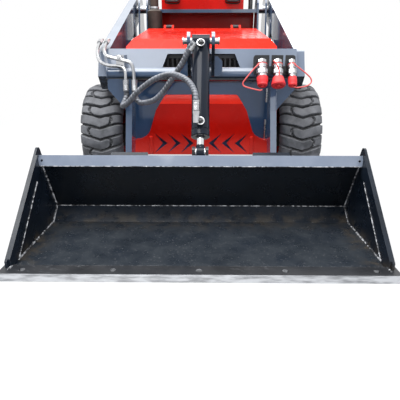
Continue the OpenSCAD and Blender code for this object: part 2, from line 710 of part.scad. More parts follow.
module quick_attach() color(dark) {
    difference() {
        // Plate, folded out along its foot between the legs
        union() {
            across(-360, 720) polygon([
                on_wall(-20, seat_w), on_wall(215, seat_w), on_wall(215, plate_back), on_wall(-20, plate_back)
            ]);
            across(-leg_x + 26, 2 * leg_x - 52) polygon([
                on_wall(-20, plate_back - 1), on_wall(-10, plate_back - 1), on_wall(-10, plate_back + 18),
                on_wall(-20, plate_back + 18)
            ]);
        }
        // Notch between the tilt lugs, for the rod's eye
        across(-20, 40) polygon([
            on_wall(140, seat_w - 1), on_wall(216, seat_w - 1), on_wall(216, plate_back + 1), on_wall(140, plate_back + 1)
        ]);
        // Windows that lighten the plate
        both() across(70, 110) polygon([
            on_wall(60, seat_w - 1), on_wall(170, seat_w - 1), on_wall(170, plate_back + 1), on_wall(60, plate_back + 1)
        ]);
    }
    both() {
        for (x = [leg_x - 17, leg_x + leg_t + 3])
            difference() {
                across(x, 14) polygon(concat(
                    [on_wall(-20, plate_back)], arc(tool_pivot, 38, -110, 60), [on_wall(90, plate_back)]
                ));
                bar_x(tool_pivot, x - 1, 16, 40.2);
            }
        across(20, 12) polygon(concat(
            [on_wall(120, plate_back)], arc(tilt_eye, 24, -60, 140), [on_wall(215, plate_back)]
        ));
        // Locking pins' housings
        translate([250, on_wall(10, plate_back + 12)[0], on_wall(10, plate_back + 12)[1]])
            rotate([atan2(wall_u[1], wall_u[0]) - 90, 0, 0]) {
                cylinder(d = 34, h = 60);
                cylinder(d = 18, h = 110);
            }
    }
}

module tool_pins() color(steel) both()
    bar_x(tool_pivot, leg_x - 20, leg_t + 40, 40);

// Places on the side plate's front edge, t from its foot and d behind the edge
side_foot = [-1076, 38];
side_tip = [-742, side_top];
side_u = unit(side_tip - side_foot);
function on_side(t, d) = side_foot + t * side_u + d * [side_u[1], -side_u[0]];
edge_back = -lip_reach + 74;
bar_foot = [-755, 260];
bar_top = [-733, 296];

module bucket_shell() color(dark) {
    both() difference() {
        union() {
            across(bucket_w / 2, plate_t) polygon(concat(
                [[-1076, edge_t], side_foot], arc(side_tip + [12, -12], 16, 130, 25, 6),
                [[-695, 270], [-608, 55], [-672, 0], [edge_back, 0], [edge_back, edge_t]]
            ));
            // Doubler along the front edge
            across(bucket_w / 2 - plate_t, plate_t) polygon([
                on_side(8, 0), on_side(410, 0), on_side(368, doubler_w),
                [edge_back + 30, plate_t], [edge_back, plate_t], [edge_back, edge_t + run], [-1068, edge_t + run]
            ]);
        }
        bar_x(on_side(219, doubler_w / 2), bucket_w / 2 - plate_t - 1, 2 * plate_t + 2, side_hole_d);
    }
    across(-bucket_w / 2, bucket_w) polygon([
        [edge_back, 0], [edge_back, plate_t], [-678, plate_t], wall_foot,
        wall_top, wall_top + plate_t * wall_w, wall_foot + plate_t * wall_w + [0, -3], [-674, 0]
    ]);
}

module bucket_top_bar() color(paint) difference() {
    across(-bucket_w / 2, bucket_w) polygon([
        bar_foot, bar_top, [-699, 275], wall_top + plate_t * wall_w, wall_top
    ]);
    // A hole near each end, square to the bar's face
    both() translate([bucket_w / 2 - 13, (bar_foot[0] + bar_top[0]) / 2, (bar_foot[1] + bar_top[1]) / 2])
        rotate([atan2(bar_top[1] - bar_foot[1], bar_top[0] - bar_foot[0]), 0, 0])
        translate([0, 0, -20]) cylinder(d = 9, h = 30);
}

module cutting_edge() color(dark) difference() {
    across(-edge_w / 2, edge_w) polygon([
        [-lip_reach, 0], [-lip_reach + 19, edge_t], [edge_back, edge_t], [edge_back, 0]
    ]);
    for (x = [-548, -267, 0, 267, 548]) translate([x, -lip_reach + 45, -1]) cylinder(d = 18, h = edge_t + 2);
}

// Pads on the bucket's back, each with a hook over the quick attach plate
module bucket_receiver() color(paint) both()
    across(200, 140) polygon([
        on_wall(-15, plate_t), on_wall(210, plate_t), on_wall(232, 27), on_wall(238, plate_back + 6),
        on_wall(228, plate_back + 12), on_wall(215 + run, plate_back), on_wall(215 + run, seat_w - run),
        on_wall(-15, seat_w - run)
    ]);

// ---------------------------------------------------------------- wheels

// Carries a wheel's piece to its place, with +Z outwards
module at_wheel(side, c) translate([side * track / 2, c[0], c[1]]) rotate([0, side * 90, 0]) children();

// A tyre is one closed skin over rings. Six lines a pitch carry its lugs: lines 0 and 1 bound a
// lug of one side, 3 and 4 a lug of the other, and 2 and 5 lie in the grooves.
crown = tyre_od / 2 - lug_h;
fine = 6 * lugs;
coarse = 2 * lugs;
lines = [0, lug_share, lug_share / 2 + 0.25, 0.5, lug_share + 0.5, lug_share / 2 + 0.75];
// Each ring with lugs is [distance from the middle, radius of the carcass, radius on its own
// side's lugs, radius on the far side's lugs]
lug_rings = [
    [lug_past, crown, tyre_od / 2, tyre_od / 2], [lug_past + 9, crown, tyre_od / 2 - 1, crown],
    [tyre_w / 2 - 3, crown - 10, tyre_od / 2 - 15, crown - 10]
];
// Each plain ring is [distance from the middle, radius]
plain_rings = [[tyre_w / 2, 182], [62, (rim_d / 2 + run) / cos(180 / coarse)]];
function spot(x, r, line) =
    let (a = 360 / lugs * line - lug_lean * (abs(x) - lug_past) * 2 / tyre_w) [r * cos(a), r * sin(a), x];
function lug_radius(ring, side, k) = k % 3 == 2 ? ring[1] : (k < 3) == (side == 0) ? ring[2] : ring[3];
// The index of a point on lug ring n and on plain ring n, on side 0 or 1
function f(n, j, side) = (side * 3 + n) * fine + j % fine;
function g(n, j, side) = 6 * fine + (side * 2 + n) * coarse + j % coarse;
function tri(a, b, c, side) = side == 0 ? [a, c, b] : [a, b, c];
tyre_points = concat(
    [for (side = [0, 1], ring = lug_rings, i = [0:lugs - 1], k = [0:5])
        spot((2 * side - 1) * ring[0], lug_radius(ring, side, k), i + lines[k])],
    [for (side = [0, 1], ring = plain_rings, i = [0:lugs - 1], k = [0, 3])
        spot((2 * side - 1) * ring[0], ring[1], i + lines[k])]
);
tyre_faces = concat(
    // Across the middle of the tread, and through the bore
    [for (j = [0:fine - 1], t = [0, 1]) t == 0 ? tri(f(0, j, 0), f(0, j, 1), f(0, j + 1, 1), 0)
        : tri(f(0, j, 0), f(0, j + 1, 1), f(0, j + 1, 0), 0)],
    [for (j = [0:coarse - 1], t = [0, 1]) t == 0 ? tri(g(1, j, 0), g(1, j, 1), g(1, j + 1, 1), 1)
        : tri(g(1, j, 0), g(1, j + 1, 1), g(1, j + 1, 0), 1)],
    // Down the lugs to the shoulder
    [for (side = [0, 1], n = [0, 1], j = [0:fine - 1], t = [0, 1])
        t == 0 ? tri(f(n, j, side), f(n, j + 1, side), f(n + 1, j + 1, side), side)
        : tri(f(n, j, side), f(n + 1, j + 1, side), f(n + 1, j, side), side)],
    // From the shoulder's fine ring to the sidewall's plain one
    [for (side = [0, 1], j = [0:coarse - 1], t = [0:3], e = g(0, j, side), h = 3 * j)
        t < 2 ? tri(f(2, h + t, side), f(2, h + t + 1, side), e, side)
        : t == 2 ? tri(f(2, h + 2, side), g(0, j + 1, side), e, side)
        : tri(f(2, h + 2, side), f(2, h + 3, side), g(0, j + 1, side), side)],
    [for (side = [0, 1], j = [0:coarse - 1], t = [0, 1])
        t == 0 ? tri(g(0, j, side), g(0, j + 1, side), g(1, j + 1, side), side)
        : tri(g(0, j, side), g(1, j + 1, side), g(1, j, side), side)]
);
module tyre(side, c) color(dark) translate([side * track / 2, c[0], c[1]]) rotate([0, 90, 0])
    polyhedron(tyre_points, tyre_faces);

// A pressed wheel: rim with two lips, dished disc with hand holes, and the hub's housing
module rim(side, c) color(red) at_wheel(side, c) difference() {
    bead = rim_d / 2;
    rotate_extrude() polygon([
        [0, -24], [76, -24], [bead - 8, -5], [bead - 8, 72], [bead + 1, 78], [bead + 10, 78], [bead + 13, 75],
        [bead + 11, 70.2], [bead, 62.9], [bead, -62.9], [bead + 11, -70.2], [bead + 13, -75],
        [bead + 10, -78], [bead + 1, -78], [bead - 8, -72], [bead - 8, -15], [76, -34], [55, -34],
        [55, -60], [0, -60]
    ]);
    translate([0, 0, -61]) cylinder(d = 40 + 2 * run, h = 28);
    for (a = [0:72:359]) rotate([0, 0, a]) translate([97, 0, -50]) cylinder(d = 24, h = 60);
}

module tyre_fl() tyre(1, front_axle);
module tyre_fr() tyre(-1, front_axle);
module tyre_rl() tyre(1, rear_axle);
module tyre_rr() tyre(-1, rear_axle);
module rim_fl() rim(1, front_axle);
module rim_fr() rim(-1, front_axle);
module rim_rl() rim(1, rear_axle);
module rim_rr() rim(-1, rear_axle);

chassis_frame();
front_panel();
front_cowl();
arm_towers();
side_covers();
engine_block();
fuel_tank();
hydraulic_tank();
rear_panel();
exhaust();
wheel_motors();
console();
levers();
grab_rail();
thigh_pad();
work_lamps();
hood();
hood_grille();
hood_hinges();
platform();
lift_arm();
arm_pins();
tilt_pin();
coupler_bracket();
quick_couplers();
coupler_caps();
steel_pipes();
pipe_clamp();
tilt_hose_rod();
tilt_hose_base();
lift_barrel_left();
lift_barrel_right();
lift_rod_left();
lift_rod_right();
tilt_barrel();
tilt_rod();
quick_attach();
tool_pins();
bucket_shell();
bucket_top_bar();
cutting_edge();
bucket_receiver();
tyre_fl();
tyre_fr();
tyre_rl();
tyre_rr();
rim_fl();
rim_fr();
rim_rl();
rim_rr();
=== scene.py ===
import math

import bpy
import numpy as np
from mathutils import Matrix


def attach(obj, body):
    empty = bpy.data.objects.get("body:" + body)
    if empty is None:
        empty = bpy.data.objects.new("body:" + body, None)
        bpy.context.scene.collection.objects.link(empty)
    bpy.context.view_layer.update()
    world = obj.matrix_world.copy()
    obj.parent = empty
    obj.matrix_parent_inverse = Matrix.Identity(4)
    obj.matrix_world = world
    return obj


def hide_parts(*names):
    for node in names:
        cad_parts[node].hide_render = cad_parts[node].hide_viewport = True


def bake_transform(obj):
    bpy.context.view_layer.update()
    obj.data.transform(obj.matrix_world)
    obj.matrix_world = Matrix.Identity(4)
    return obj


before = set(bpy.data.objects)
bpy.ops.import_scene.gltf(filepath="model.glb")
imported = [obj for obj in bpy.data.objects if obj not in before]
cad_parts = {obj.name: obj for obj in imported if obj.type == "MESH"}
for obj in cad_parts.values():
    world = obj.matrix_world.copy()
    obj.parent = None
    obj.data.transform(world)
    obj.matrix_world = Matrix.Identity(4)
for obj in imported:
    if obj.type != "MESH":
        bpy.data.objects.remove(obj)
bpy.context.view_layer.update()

MM = 0.001

# ---------------------------------------------------------------- camera and studio
# The camera stands in front of the bucket, a little over the machine, and looks down on it.
# A pale floor, a white room and soft boxes above light the machine.

EYE = (0.0167, -2.175, 0.6356)
PITCH_DOWN = 19.6
TURN_LEFT = 0.668
LENS = 36.04

camera = bpy.data.objects.new("camera", bpy.data.cameras.new("camera"))
camera.location = EYE
camera.rotation_euler = (math.radians(90 - PITCH_DOWN), 0, math.radians(TURN_LEFT))
camera.data.lens = LENS
camera.data.sensor_width = 36
bpy.context.collection.objects.link(camera)
bpy.context.scene.camera = camera
bpy.context.scene.view_settings.view_transform = "Standard"


def add(tree, kind, inputs=None, **settings):
    """Adds a node. Each input is a value, or the output of another node to link from."""
    node = tree.nodes.new(kind)
    for key, value in settings.items():
        setattr(node, key, value)
    for key, value in (inputs or {}).items():
        if isinstance(value, bpy.types.NodeSocket):
            tree.links.new(value, node.inputs[key])
        else:
            node.inputs[key].default_value = value
    return node


def maths(tree, operation, *values, clamp=False):
    """One Math node, and its output."""
    inputs = dict(enumerate(values))
    return add(tree, "ShaderNodeMath", inputs, operation=operation, use_clamp=clamp).outputs[0]


def object_place(tree):
    """The point on the piece, in metres from the origin."""
    return add(tree, "ShaderNodeTexCoord").outputs["Object"]


def times(tree, a, b):
    """The product of two values."""
    return maths(tree, "MULTIPLY", a, b)


def blank(name):
    """A new material with only its output node: (material, tree, output)."""
    material = bpy.data.materials.new(name)
    material.use_nodes = True
    tree = material.node_tree
    tree.nodes.clear()
    return material, tree, tree.nodes.new("ShaderNodeOutputMaterial")


def seen_directly(tree):
    """1 where a camera, mirror or glass ray looks, 0 for the light that falls on the machine."""
    path = add(tree, "ShaderNodeLightPath")
    mirror = maths(tree, "MAXIMUM", path.outputs["Is Camera Ray"], path.outputs["Is Glossy Ray"])
    return maths(tree, "MAXIMUM", mirror, path.outputs["Is Transmission Ray"])


floor_material, tree, out = blank("studio_floor")
paper = add(tree, "ShaderNodeBsdfDiffuse", {"Color": (0.86, 0.86, 0.87, 1)})
glow = add(tree, "ShaderNodeEmission", {"Color": (1, 1, 1, 1), "Strength": 1.0})
place = object_place(tree)
far = add(tree, "ShaderNodeVectorMath", {0: place}, operation="LENGTH").outputs["Value"]
near = add(tree, "ShaderNodeMapRange", {0: far, 1: 1.6, 2: 3.2, 3: 0.74, 4: 1.0},
           interpolation_type="SMOOTHSTEP").outputs[0]
share = times(tree, seen_directly(tree), near)
mix = add(tree, "ShaderNodeMixShader", {0: share, 1: paper.outputs[0], 2: glow.outputs[0]})
tree.links.new(mix.outputs[0], out.inputs[0])

FLOOR_HALF = 14.0
floor_mesh = bpy.data.meshes.new("studio_floor")
corners = [(sx * FLOOR_HALF, sy * FLOOR_HALF, 0) for sx, sy in ((-1, -1), (1, -1), (1, 1), (-1, 1))]
floor_mesh.from_pydata(corners, [], [(0, 1, 2, 3)])
floor_mesh.materials.append(floor_material)
floor = bpy.data.objects.new("studio_floor", floor_mesh)
bpy.context.collection.objects.link(floor)

world = bpy.data.worlds.new("studio")
bpy.context.scene.world = world
world.use_nodes = True
tree = world.node_tree
tree.nodes.clear()
room = add(tree, "ShaderNodeBackground", {"Color": (0.93, 0.96, 1.0, 1), "Strength": 0.56})
paper = add(tree, "ShaderNodeBackground", {"Color": (1, 1, 1, 1), "Strength": 1.0})
mix = add(tree, "ShaderNodeMixShader",
          {0: seen_directly(tree), 1: room.outputs[0], 2: paper.outputs[0]})
out = add(tree, "ShaderNodeOutputWorld", {0: mix.outputs[0]})

# Each lamp: name, place, size, power, the point that it looks at
LAMPS = [
    ("top_box", (-0.9, -1.4, 4.2), 3.4, 215, (0, -0.2, 0.2)),
    ("front_box", (1.6, -4.6, 2.4), 2.6, 62, (0, -0.6, 0.3)),
    ("rear_box", (1.2, 4.2, 3.4), 3.0, 80, (0, 0.3, 0.6)),
]
for name, place, size, power, aim in LAMPS:
    lamp = bpy.data.objects.new(name, bpy.data.lights.new(name, "AREA"))
    lamp.data.size = size
    lamp.data.energy = power
    lamp.location = place
    way = np.subtract(aim, place)
    flat = math.hypot(way[0], way[1])
    lamp.rotation_euler = (math.atan2(flat, -way[2]), 0, math.atan2(-way[0], way[1]))
    bpy.context.collection.objects.link(lamp)

# ---------------------------------------------------------------- shared surface effects
# Wear, dust, scratches and grain, with the highlights painted on edges and the light and shade
# painted by the way a face looks, are the same on every painted piece, so each is one group of
# nodes, placed in each finish with its own values.


def effect(name, inputs, output):
    """An empty node group with float inputs and one output: (tree, inputs node, output node)."""
    tree = bpy.data.node_groups.new(name, "ShaderNodeTree")
    for label, value in inputs.items():
        socket = tree.interface.new_socket(label, in_out="INPUT", socket_type="NodeSocketFloat")
        socket.default_value = value
    tree.interface.new_socket(output, in_out="OUTPUT", socket_type="NodeSocketFloat")
    return tree, tree.nodes.new("NodeGroupInput"), tree.nodes.new("NodeGroupOutput")


def grown(tree, vector, scale, detail=4.0, rough=0.55):
    """A noise texture's value at a scale given in features for each metre."""
    return add(tree, "ShaderNodeTexNoise", {
        "Vector": vector, "Scale": scale, "Detail": detail, "Roughness": rough
    }).outputs[0]


def between(tree, value, low, high):
    """0 below low, 1 above high, and a smooth step between."""
    return add(tree, "ShaderNodeMapRange", {0: value, 1: low, 2: high},
               interpolation_type="SMOOTHSTEP").outputs[0]


# Edge wear and highlight: a rounded normal leans away from the flat one near an edge, by up to
# Reach metres. It marks worn paint, and in the red paint and the tyres a painted highlight.
tree, given, result = effect("Edge wear and highlight", {"Reach": 0.004, "Amount": 0.5, "Scale": 60.0}, "Mask")
place = object_place(tree)
rounded = add(tree, "ShaderNodeBevel", {"Radius": given.outputs["Reach"]}, samples=6)
flat = add(tree, "ShaderNodeNewGeometry").outputs["True Normal"]
lean = add(tree, "ShaderNodeVectorMath", {0: rounded.outputs[0], 1: flat}, operation="DOT_PRODUCT")
edge = between(tree, maths(tree, "SUBTRACT", 1.0, lean.outputs["Value"]), 0.03, 0.3)
patchy = between(tree, grown(tree, place, given.outputs["Scale"]), 0.42, 0.62)
wear_and_highlight = times(tree, times(tree, edge, patchy), given.outputs["Amount"])
tree.links.new(wear_and_highlight, result.inputs[0])

# Tone by facing: a clouded mask on faces that look up, between the heights of the normal Low and
# High, and on faces that look down when Low is above High. It lays settled dust and painted top
# light on faces that look up, and painted shade on faces that look down.
tree, given, result = effect("Tone by facing", {
    "Low": 0.1, "High": 0.6, "Scale": 9.0, "Evenness": 0.5
}, "Mask")
coords = add(tree, "ShaderNodeTexCoord")
up = add(tree, "ShaderNodeSeparateXYZ", {0: coords.outputs["Normal"]}).outputs[2]
lies = between(tree, up, given.outputs["Low"], given.outputs["High"])
cloudy = between(tree, grown(tree, coords.outputs["Object"], given.outputs["Scale"], 6.0), 0.3, 0.7)
thick = add(tree, "ShaderNodeMix", {0: given.outputs["Evenness"], 2: cloudy, 3: 1.0}).outputs[0]
tree.links.new(times(tree, lies, thick), result.inputs[0])

# Scratches: long thin streaks along a direction turned by Turn radians, in patches
tree, given, result = effect("Scratches", {"Scale": 30.0, "Stretch": 14.0, "Turn": 0.3,
                                           "Amount": 0.5}, "Mask")
place = object_place(tree)
turned = add(tree, "ShaderNodeVectorRotate", {"Vector": place, "Angle": given.outputs["Turn"]},
             rotation_type="Z_AXIS").outputs[0]
long = add(tree, "ShaderNodeCombineXYZ", {0: 1.0, 1: given.outputs["Stretch"],
                                          2: given.outputs["Stretch"]}).outputs[0]
drawn = add(tree, "ShaderNodeVectorMath", {0: turned, 1: long}, operation="MULTIPLY").outputs[0]
streak = between(tree, grown(tree, drawn, given.outputs["Scale"], 3.0), 0.62, 0.72)
patch = between(tree, grown(tree, place, 7.0, 3.0), 0.45, 0.65)
scratched = times(tree, times(tree, streak, patch), given.outputs["Amount"])
tree.links.new(scratched, result.inputs[0])

# Grain: a fine unevenness for the Height of a Bump node
tree, given, result = effect("Grain", {"Scale": 400.0}, "Height")
place = object_place(tree)
tree.links.new(grown(tree, place, given.outputs["Scale"], 2.0), result.inputs[0])


def place_effect(tree, name, **values):
    """An effect's group in a material, and its output."""
    node = add(tree, "ShaderNodeGroup", node_tree=bpy.data.node_groups[name])
    for label, value in values.items():
        node.inputs[label.replace("_", " ").capitalize()].default_value = value
    return node.outputs[0]


def tint(tree, mask, below, above):
    """A colour that goes from below to above as the mask goes from 0 to 1."""
    return add(tree, "ShaderNodeMix", {0: mask, 6: below, 7: above}, data_type="RGBA").outputs[2]


def rgb(*value):
    """A colour as a shader socket takes it."""
    return (*value, 1.0)


def surface(tree, out, base, rough, height=None, depth=0.0, strength=1.0, specular=0.5,
            **more):
    """A Principled surface, and its bumps where height is given: they are depth metres high."""
    inputs = {"Base Color": base, "Roughness": rough, "Specular IOR Level": specular}
    if height:
        bump = {"Height": height, "Distance": depth, "Strength": strength}
        inputs["Normal"] = add(tree, "ShaderNodeBump", bump).outputs[0]
    inputs.update({label.replace("_", " ").title(): value for label, value in more.items()})
    shader = add(tree, "ShaderNodeBsdfPrincipled", inputs)
    tree.links.new(shader.outputs[0], out.inputs[0])


def finish_coat(name, colour, deep, dust, edge, gloss=0.28, coat=0.6, top_low=0.1,
                top_high=0.5, evenness=0.7, wear=0.6, metallic=0.0, grain=500.0,
                grain_height=0.00002, scuffs=0.25, reach=0.003, specular=0.4, shine=0.05,
                underside_shade=(0.02, 0.02, 0.016), smears=0.16, over=None):
    """A painted or plated surface: two close tones, a paler tone on top that is dust and painted
    top light, a darker tone below that is painted shade, scratches, and edges that are wear and
    painted highlights. over(tree, base) adds what one finish has alone, and returns the new base."""
    material, tree, out = blank(name)
    place = object_place(tree)
    tone = between(tree, grown(tree, place, 5.0), 0.35, 0.68)
    base = tint(tree, tone, rgb(*deep), rgb(*colour))
    # Faces that look down are darkened towards a deeper copy of the colour: painted shade
    below = place_effect(tree, "Tone by facing", low=0.02, high=-0.5, evenness=0.75, scale=14.0)
    base = tint(tree, below, base, rgb(*underside_shade))
    # Faces that look up turn paler towards the dust colour: settled dust, and painted top light of
    # sun and sky
    dust_and_light = place_effect(tree, "Tone by facing", low=top_low, high=top_high, evenness=evenness)
    base = tint(tree, dust_and_light, base, rgb(*dust))
    if over:
        base = over(tree, base)
    marks = place_effect(tree, "Scratches", amount=scuffs)
    base = tint(tree, marks, base, rgb(*edge))
    # Edges turn towards the edge colour: worn paint, and in the red paint a painted highlight
    wear_and_highlight = place_effect(tree, "Edge wear and highlight", amount=wear, reach=reach)
    base = tint(tree, wear_and_highlight, base, rgb(*edge))
    smear = between(tree, grown(tree, place, 18.0), 0.3, 0.75)
    rough = maths(tree, "MULTIPLY_ADD", smear, smears, gloss)
    rough = maths(tree, "MULTIPLY_ADD", maths(tree, "MAXIMUM", wear_and_highlight, marks), 0.25, rough)
    surface(tree, out, base, rough, place_effect(tree, "Grain", scale=grain), grain_height,
            metallic=metallic, coat_weight=coat, coat_roughness=shine, specular=specular)
    return material


def dress(material, *nodes):
    """Gives CAD nodes their finish."""
    for node in nodes:
        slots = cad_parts[node].data.materials
        slots.clear()
        slots.append(material)


# ---------------------------------------------------------------- tilt hoses
# Two rubber hydraulic hoses in grey spiral wrap run from the steel pipes on the arm to the tilt
# cylinder. Each end is crimped in a plated ferrule. The hoses are built where they stand, on no
# moving body.

# The routes of the solids, from the pipe to the cylinder's port
ROD_HOSE = [
    (-328, -362, 499), (-328, -362, 490), (-328, -364, 474), (-337, -390, 446), (-336, -418, 438),
    (-308, -438, 456), (-266, -455, 498), (-212, -468, 538), (-175, -472, 558), (-138, -478, 569),
    (-104, -492, 570), (-70, -522, 560), (-42, -556, 542), (-26, -588, 520), (-18, -616, 499),
    (-16, -633, 475), (-16, -634, 450)
]
BASE_HOSE = [
    (-291, -362, 499), (-290, -363, 474), (-272, -374, 450), (-240, -384, 450),
    (-198, -400, 464), (-155, -414, 504), (-122, -428, 548), (-92, -438, 590),
    (-70, -445, 622), (-56, -450, 650), (-42, -456, 676), (-24, -458, 692)
]


def curve_through(points, steps):
    """A smooth path through the points, in metres: each span is the cubic that leaves a point
    along the line between its neighbours (Catmull and Rom)."""
    p = np.asarray(points, float) * MM
    p = np.vstack([p[:1], p, p[-1:]])
    u = (np.arange(steps) / steps)[:, None, None]
    a, b, c, d = p[None, :-3], p[None, 1:-2], p[None, 2:-1], p[None, 3:]
    path = 0.5 * (2 * b + (c - a) * u + (2 * a - 5 * b + 4 * c - d) * u ** 2
                  + (3 * b - a - 3 * c + d) * u ** 3)
    return np.vstack([path.transpose(1, 0, 2).reshape(-1, path.shape[-1]), p[-1:]])


def evenly(path, step):
    """The path again, with points a step apart along it."""
    run = np.concatenate([[0], np.cumsum(np.linalg.norm(np.diff(path, axis=0), axis=1))])
    at = np.linspace(0, run[-1], max(3, int(round(run[-1] / step)) + 1))
    return np.stack([np.interp(at, run, path[:, k]) for k in range(3)], axis=1)


def frames_along(path):
    """Two sideways directions at each point of a path, carried along it without twist."""
    way = np.gradient(path, axis=0)
    way /= np.linalg.norm(way, axis=1)[:, None]
    side = np.empty_like(way)
    start = np.array([0.0, 0, 1]) if abs(way[0, 2]) < 0.8 else np.array([1.0, 0, 0])
    for i, t in enumerate(way):
        last = start if i == 0 else side[i - 1]
        side[i] = last - t * (last @ t)
        side[i] /= np.linalg.norm(side[i])
    return way, side, np.cross(way, side)


def skin(name, grids, material, wrap_u=False, wrap_v=True, cap=True, ride=None):
    """A mesh piece from one grid of points [u, v, xyz], or from several. A grid may close along
    u or v, and its two open ends along u are closed with a face each."""
    verts, faces, start = [], [], 0
    for grid in grids if isinstance(grids, list) else [grids]:
        nu, nv = grid.shape[:2]
        i, j = np.meshgrid(np.arange(nu if wrap_u else nu - 1),
                           np.arange(nv if wrap_v else nv - 1), indexing="ij")
        i2, j2 = (i + 1) % nu, (j + 1) % nv
        quads = np.stack([i * nv + j, i * nv + j2, i2 * nv + j2, i2 * nv + j], -1) + start
        faces += quads.reshape(-1, 4).tolist()
        if cap and not wrap_u:
            faces.append(list(range(start + nv - 1, start - 1, -1)))
            faces.append(list(range(start + (nu - 1) * nv, start + nu * nv)))
        verts.append(grid.reshape(-1, 3))
        start += nu * nv
    mesh = bpy.data.meshes.new(name)
    mesh.from_pydata(np.concatenate(verts).tolist(), [], faces)
    mesh.validate()
    mesh.materials.append(material)
    mesh.polygons.foreach_set("use_smooth", [True] * len(mesh.polygons))
    mesh.set_sharp_from_angle(angle=math.radians(35))
    piece = bpy.data.objects.new(name, mesh)
    bpy.context.collection.objects.link(piece)
    if ride:
        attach(piece, ride)
    return piece


def along(path, radius, sides=24):
    """A grid round a path: radius is one number, or a function of the distance along the path
    and the angle round it, both as arrays."""
    way, a, b = frames_along(path)
    run = np.concatenate([[0], np.cumsum(np.linalg.norm(np.diff(path, axis=0), axis=1))])
    angle = 2 * np.pi * np.arange(sides) / sides
    s, t = np.meshgrid(run, angle, indexing="ij")
    r = radius(s, t) if callable(radius) else np.full_like(s, radius)
    ring = np.cos(t)[..., None] * a[:, None] + np.sin(t)[..., None] * b[:, None]
    return path[:, None] + r[..., None] * ring


def lathed(start, way, profile, sides=32, ripple=None):
    """A grid of a lathe-turned piece about the line from start along way. profile lists
    (distance, radius) in mm, and ripple(angle) multiplies the radius, as a knurl does."""
    start, way = np.asarray(start, float) * MM, np.asarray(way, float)
    way = way / np.linalg.norm(way)
    side = np.cross(way, [0, 0, 1.0] if abs(way[2]) < 0.8 else [1.0, 0, 0])
    side /= np.linalg.norm(side)
    angle = 2 * np.pi * np.arange(sides) / sides
    d, r = (np.asarray(profile, float) * MM).T
    ring = np.cos(angle)[:, None] * side + np.sin(angle)[:, None] * np.cross(way, side)
    if ripple is not None:
        ring = ring * ripple(angle)[:, None]
    return start + d[:, None, None] * way + r[:, None, None] * ring[None]


WRAP_PITCH = 15 * MM
HOSE_R = 9.4 * MM
WRAP_T = 2.5 * MM


def wrapped(s, t):
    """The hose's radius under its wrap: a helical band that covers four fifths of each turn,
    with rounded edges."""
    turn = (s / WRAP_PITCH + t / (2 * np.pi)) % 1.0
    edge = np.minimum(turn, 1 - turn)
    return HOSE_R + WRAP_T * np.clip((edge - 0.05) / 0.09, 0, 1) ** 0.6


hose_grey, tree, out = blank("hose_wrap")
place = object_place(tree)
cloud = between(tree, grown(tree, place, 22.0), 0.35, 0.7)
base = tint(tree, cloud, rgb(0.042, 0.046, 0.056), rgb(0.10, 0.107, 0.13))
dust_and_light = place_effect(tree, "Tone by facing", low=0.1, high=1.0, evenness=0.5, scale=40.0)
base = tint(tree, dust_and_light, base, rgb(0.36, 0.38, 0.42))
surface(tree, out, base, 0.33, place_effect(tree, "Grain", scale=900.0), 0.0002)

zinc = finish_coat("zinc_plate", (0.60, 0.61, 0.63), (0.40, 0.41, 0.44), (0.74, 0.75, 0.76),
                   (0.30, 0.29, 0.28), gloss=0.22, coat=0.0, metallic=1.0, wear=0.3, scuffs=0.2,
                   top_high=0.9, underside_shade=(0.12, 0.12, 0.12))

# Each hose: name, route, and two points at its ends, its ferrule on the arm and the cylinder;
# the loop reads only the name and the route
for name, route, start, end in (
        ("rod", ROD_HOSE, (-0.33, -0.40, 0.45), (-0.016, -0.633, 0.47)),
        ("base", BASE_HOSE, (-0.29, -0.363, 0.47), (-0.04, -0.456, 0.68))):
    path = evenly(curve_through(route, 4), 2 * MM)
    hose = skin("tilt_hose_" + name + "_wrapped", along(path, wrapped, 20), hose_grey)
    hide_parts("tilt_hose_" + name)
    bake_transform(hose)


def crimped(length, radius=12.7):
    """A ferrule's profile: grooves 4.5 mm apart, pressed 0.8 mm deep, between plain ends."""
    d = np.linspace(0, length, int(length * 3))
    groove = np.clip(np.cos(2 * np.pi * d / 4.5), -0.4, 0.6) * 0.8
    plain = (d < 3) | (d > length - 5)
    return list(zip(d, radius + np.where(plain, 0.5, groove)))


ferrules = [lathed((x, y, z + 0.6), (0, 0, 1), crimped(31))
            for x, y, z in (ROD_HOSE[0], BASE_HOSE[0])]
skin("hose_ferrules", ferrules, zinc, ride="lift_arm")

# ---------------------------------------------------------------- painted chassis
# The chassis box, its front panel and the two arm towers are plate steel, cut, welded and
# sprayed in gloss grey-blue. Their faces that look up are painted pale, with dust and painted
# light of the sun and sky, and their faces that look down are painted near black as shade.

frame_paint = finish_coat("frame_paint", (0.048, 0.085, 0.158), (0.038, 0.070, 0.132),
                          (0.39, 0.43, 0.50), (0.30, 0.31, 0.33), gloss=0.12, coat=0.5,
                          top_low=0.28, top_high=0.6, evenness=0.9, wear=0.5, scuffs=0.1,
                          specular=0.25, shine=0.03, smears=0.08, underside_shade=(0.008, 0.009, 0.010))
dress(frame_paint, "chassis_frame", "arm_towers", "hydraulic_tank", "lift_arm")
# The front panel keeps a deeper gloss than the plates that stones and mud reach. Its bluer,
# brighter colour is painted light: the blue of the sky on a panel that stands in the arm's shade.
panel_paint_sky_lit = finish_coat("panel_paint_sky_lit", (0.052, 0.105, 0.215), (0.042, 0.088, 0.185),
                          (0.39, 0.43, 0.50), (0.30, 0.31, 0.33), gloss=0.08, coat=0.6,
                          top_low=0.28, top_high=0.6, evenness=0.9, wear=0.4, scuffs=0.05,
                          specular=0.25, shine=0.02, smears=0.05, underside_shade=(0.008, 0.009, 0.010))
dress(panel_paint_sky_lit, "front_panel")


